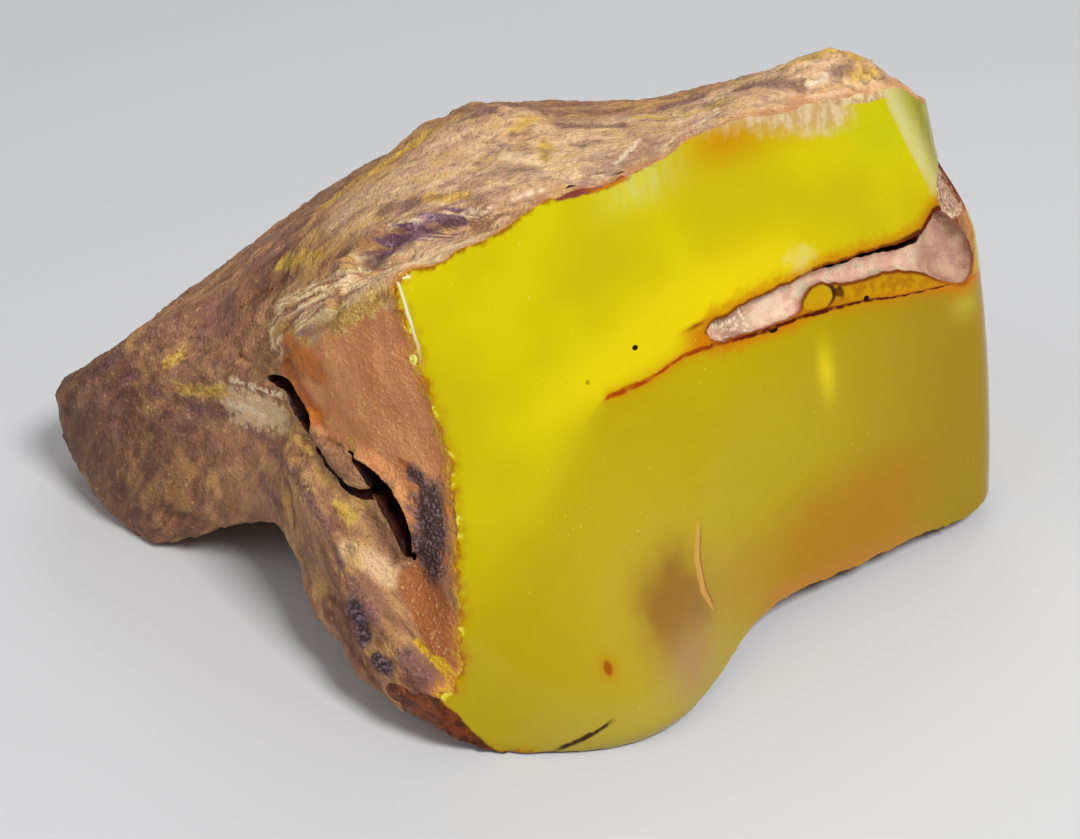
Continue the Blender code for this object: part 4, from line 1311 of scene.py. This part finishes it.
def pink_material():
    """The pale rind in the open crack: pink and cream, granular at its left end, with a painted fold
    shadow.
    """
    g = WindowGraph("pink_rind")
    right, up = g.right, g.up
    patches = g.noise(g.place, 1.9, 3.0, 0.6)
    grit = g.noise(g.place, 0.35, 2.0, 0.6)
    cells = g.cells(g.place, 0.55)
    g.colour = g.mix(patches.step(0.40, 0.60), (212, 166, 144), (228, 198, 166))
    narrow = right.step(10.0, 12.0) * right.step(24.0, 21.0)
    g.paint(narrow * patches.step(0.50, 0.60) * 0.85, (172, 160, 136))
    g.paint(grit.step(0.42, 0.30) * 0.35, (168, 118, 98))
    granular = right.step(6.0, 4.0)
    dark_grains = (grit * 0.6 + cells).step(0.62, 0.86) * granular * right.step(0.6, 2.4)
    g.paint(dark_grains * 0.5, (140, 102, 78))
    g.paint(granular * cells.step(0.34, 0.16) * 0.6, (250, 234, 206))
    # Painted shadow along the fold in the flare.
    fold_shadow = g.blob((28.6, 5.6), (2.2, 0.40), 0.12)
    g.paint(fold_shadow * 0.7, (158, 100, 94))
    g.paint(g.blob((30.6, 4.2), (1.6, 1.0)) * 0.6, (206, 152, 142))
    flare = g.mix(patches.step(0.4, 0.6), (166, 122, 102), (184, 148, 120))
    g.paint(right.step(25.0, 28.5) * 0.8, flare)
    crusted = (up + right * 0.6).step(26.6, 27.6)
    crust = g.mix(grit.step(0.4, 0.6), (168, 118, 90), (224, 188, 156))
    g.paint(crusted, crust)
    g.paint(cells.step(0.45, 0.75) * crusted * 0.5, (116, 78, 66))
    rim = (g.field("depth") + (patches - 0.5) * 0.5).step(0.45, 0.15)
    g.paint(rim * 0.85, (146, 74, 34))
    g.set(Base_Color=g.colour, Roughness=0.6)
    g.bump(grit * 0.6 + cells * (granular + crusted) * 0.8 + patches * 0.4, 0.22)
    return g.material


def gap_shade_material():
    """Gaps and the groove under the crack's lip: red-brown darkened to near black as painted shade; pink at
    the lip's end.
    """
    g = WindowGraph("gap_rind_and_shade")
    patches = g.noise(g.place, 1.5, 2.0, 0.6)
    # Painted shade: near black to dark red-brown, the dark of the deep gaps and of the groove under the
    # lip.
    g.colour = g.mix(patches.step(0.4, 0.65), (20, 7, 4), (70, 26, 8))
    g.paint(g.right.step(29.0, 30.2) * g.up.step(6.0, 7.4), (180, 132, 108))
    g.set(Base_Color=g.colour, Roughness=0.45)
    g.bump(patches, 0.3)
    return g.material


def floor_material():
    g = Graph("pale_floor")
    g.set(Base_Color=FLOOR_COLOUR, Roughness=0.7)
    return g.material


# The piece and the stage


def raw_amber():
    piece = add_object(rough_skin(), rind_material())
    piece.name = "raw_amber_piece"
    pink = pink_material()
    # dark: the gaps' material, red-brown darkened to painted shade.
    dark = gap_shade_material()
    cut(piece, polishing_form(), "INTERSECT", amber_material())
    cut(piece, crack_form(), "DIFFERENCE", pink, dark)
    cut(piece, strip_form(), "DIFFERENCE", pink)
    for name, (points, inward, depth) in GAPS.items():
        cut(piece, gap_form(name, points, inward, depth), "DIFFERENCE", dark)
    cut(piece, parting_form(), "DIFFERENCE", dark)
    cut(piece, ground_form(), "DIFFERENCE", bpy.data.materials["weathered_rind"])
    mesh = piece.data
    chip_border(mesh)
    paint_attributes(mesh)
    mesh.polygons.foreach_set("use_smooth", [True] * len(mesh.polygons))
    mesh.set_sharp_from_angle(angle=SHARP_ANGLE)
    return piece


CAMERA_TARGET_MM = Vector((1.5, -9.0, 20.0))
CAMERA_ELEVATION = math.radians(33.0)
CAMERA_DISTANCE_MM = 200.0
CAMERA_SENSOR = 36
CAMERA_LENS = 2200 / 1080 * CAMERA_SENSOR  # a lens 2200 px long in a frame 1080 px wide
FLOOR_RADIUS_M = 6.0
FLOOR_COLOUR = (0.62, 0.62, 0.63, 1)
STUDIO_COLOUR = (0.9, 0.92, 0.95, 1)
STUDIO_STRENGTH = 0.30
LAMPS = [  # each is where it shines from, how far away in metres, its size in metres, its power
    ("key", (0.42, -0.62, 0.95), 0.55, 0.16, 2.7),
    ("fill", (-1.0, -0.5, 0.9), 0.7, 0.5, 0.8),
    ("back", (0.1, 1.0, 0.9), 0.7, 0.4, 0.8),
]


def add_camera():
    back = Vector((0, -math.cos(CAMERA_ELEVATION), math.sin(CAMERA_ELEVATION)))
    data = bpy.data.cameras.new("camera")
    data.sensor_width = CAMERA_SENSOR
    data.lens = CAMERA_LENS
    data.clip_start = 0.005
    data.clip_end = 50
    camera = bpy.data.objects.new("camera", data)
    bpy.context.scene.collection.objects.link(camera)
    camera.location = (CAMERA_TARGET_MM + back * CAMERA_DISTANCE_MM) * MM
    camera.rotation_euler = back.to_track_quat("Z", "Y").to_euler()
    bpy.context.scene.camera = camera


def add_light(name, direction, distance_m, size_m, power):
    """A soft square lamp that faces the lump from the given direction."""
    data = bpy.data.lights.new(name, "AREA")
    data.size = size_m
    data.energy = power
    lamp = bpy.data.objects.new(name, data)
    bpy.context.scene.collection.objects.link(lamp)
    way = Vector(direction).normalized()
    lamp.location = way * distance_m + CAMERA_TARGET_MM * MM
    lamp.rotation_euler = way.to_track_quat("Z", "Y").to_euler()


def add_stage():
    bm = bmesh.new()
    bmesh.ops.create_circle(bm, cap_ends=True, segments=96, radius=FLOOR_RADIUS_M)
    add_object(mesh_from(bm, "floor"), floor_material())
    for lamp in LAMPS:
        add_light(*lamp)
    world = bpy.data.worlds.new("studio")
    world.use_nodes = True
    background = world.node_tree.nodes["Background"]
    background.inputs["Color"].default_value = STUDIO_COLOUR
    background.inputs["Strength"].default_value = STUDIO_STRENGTH
    bpy.context.scene.world = world
    bpy.context.scene.view_settings.view_transform = "Standard"


def main():
    piece = raw_amber()
    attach(piece, "root")
    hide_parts(NODE)
    add_camera()
    add_stage()


main()
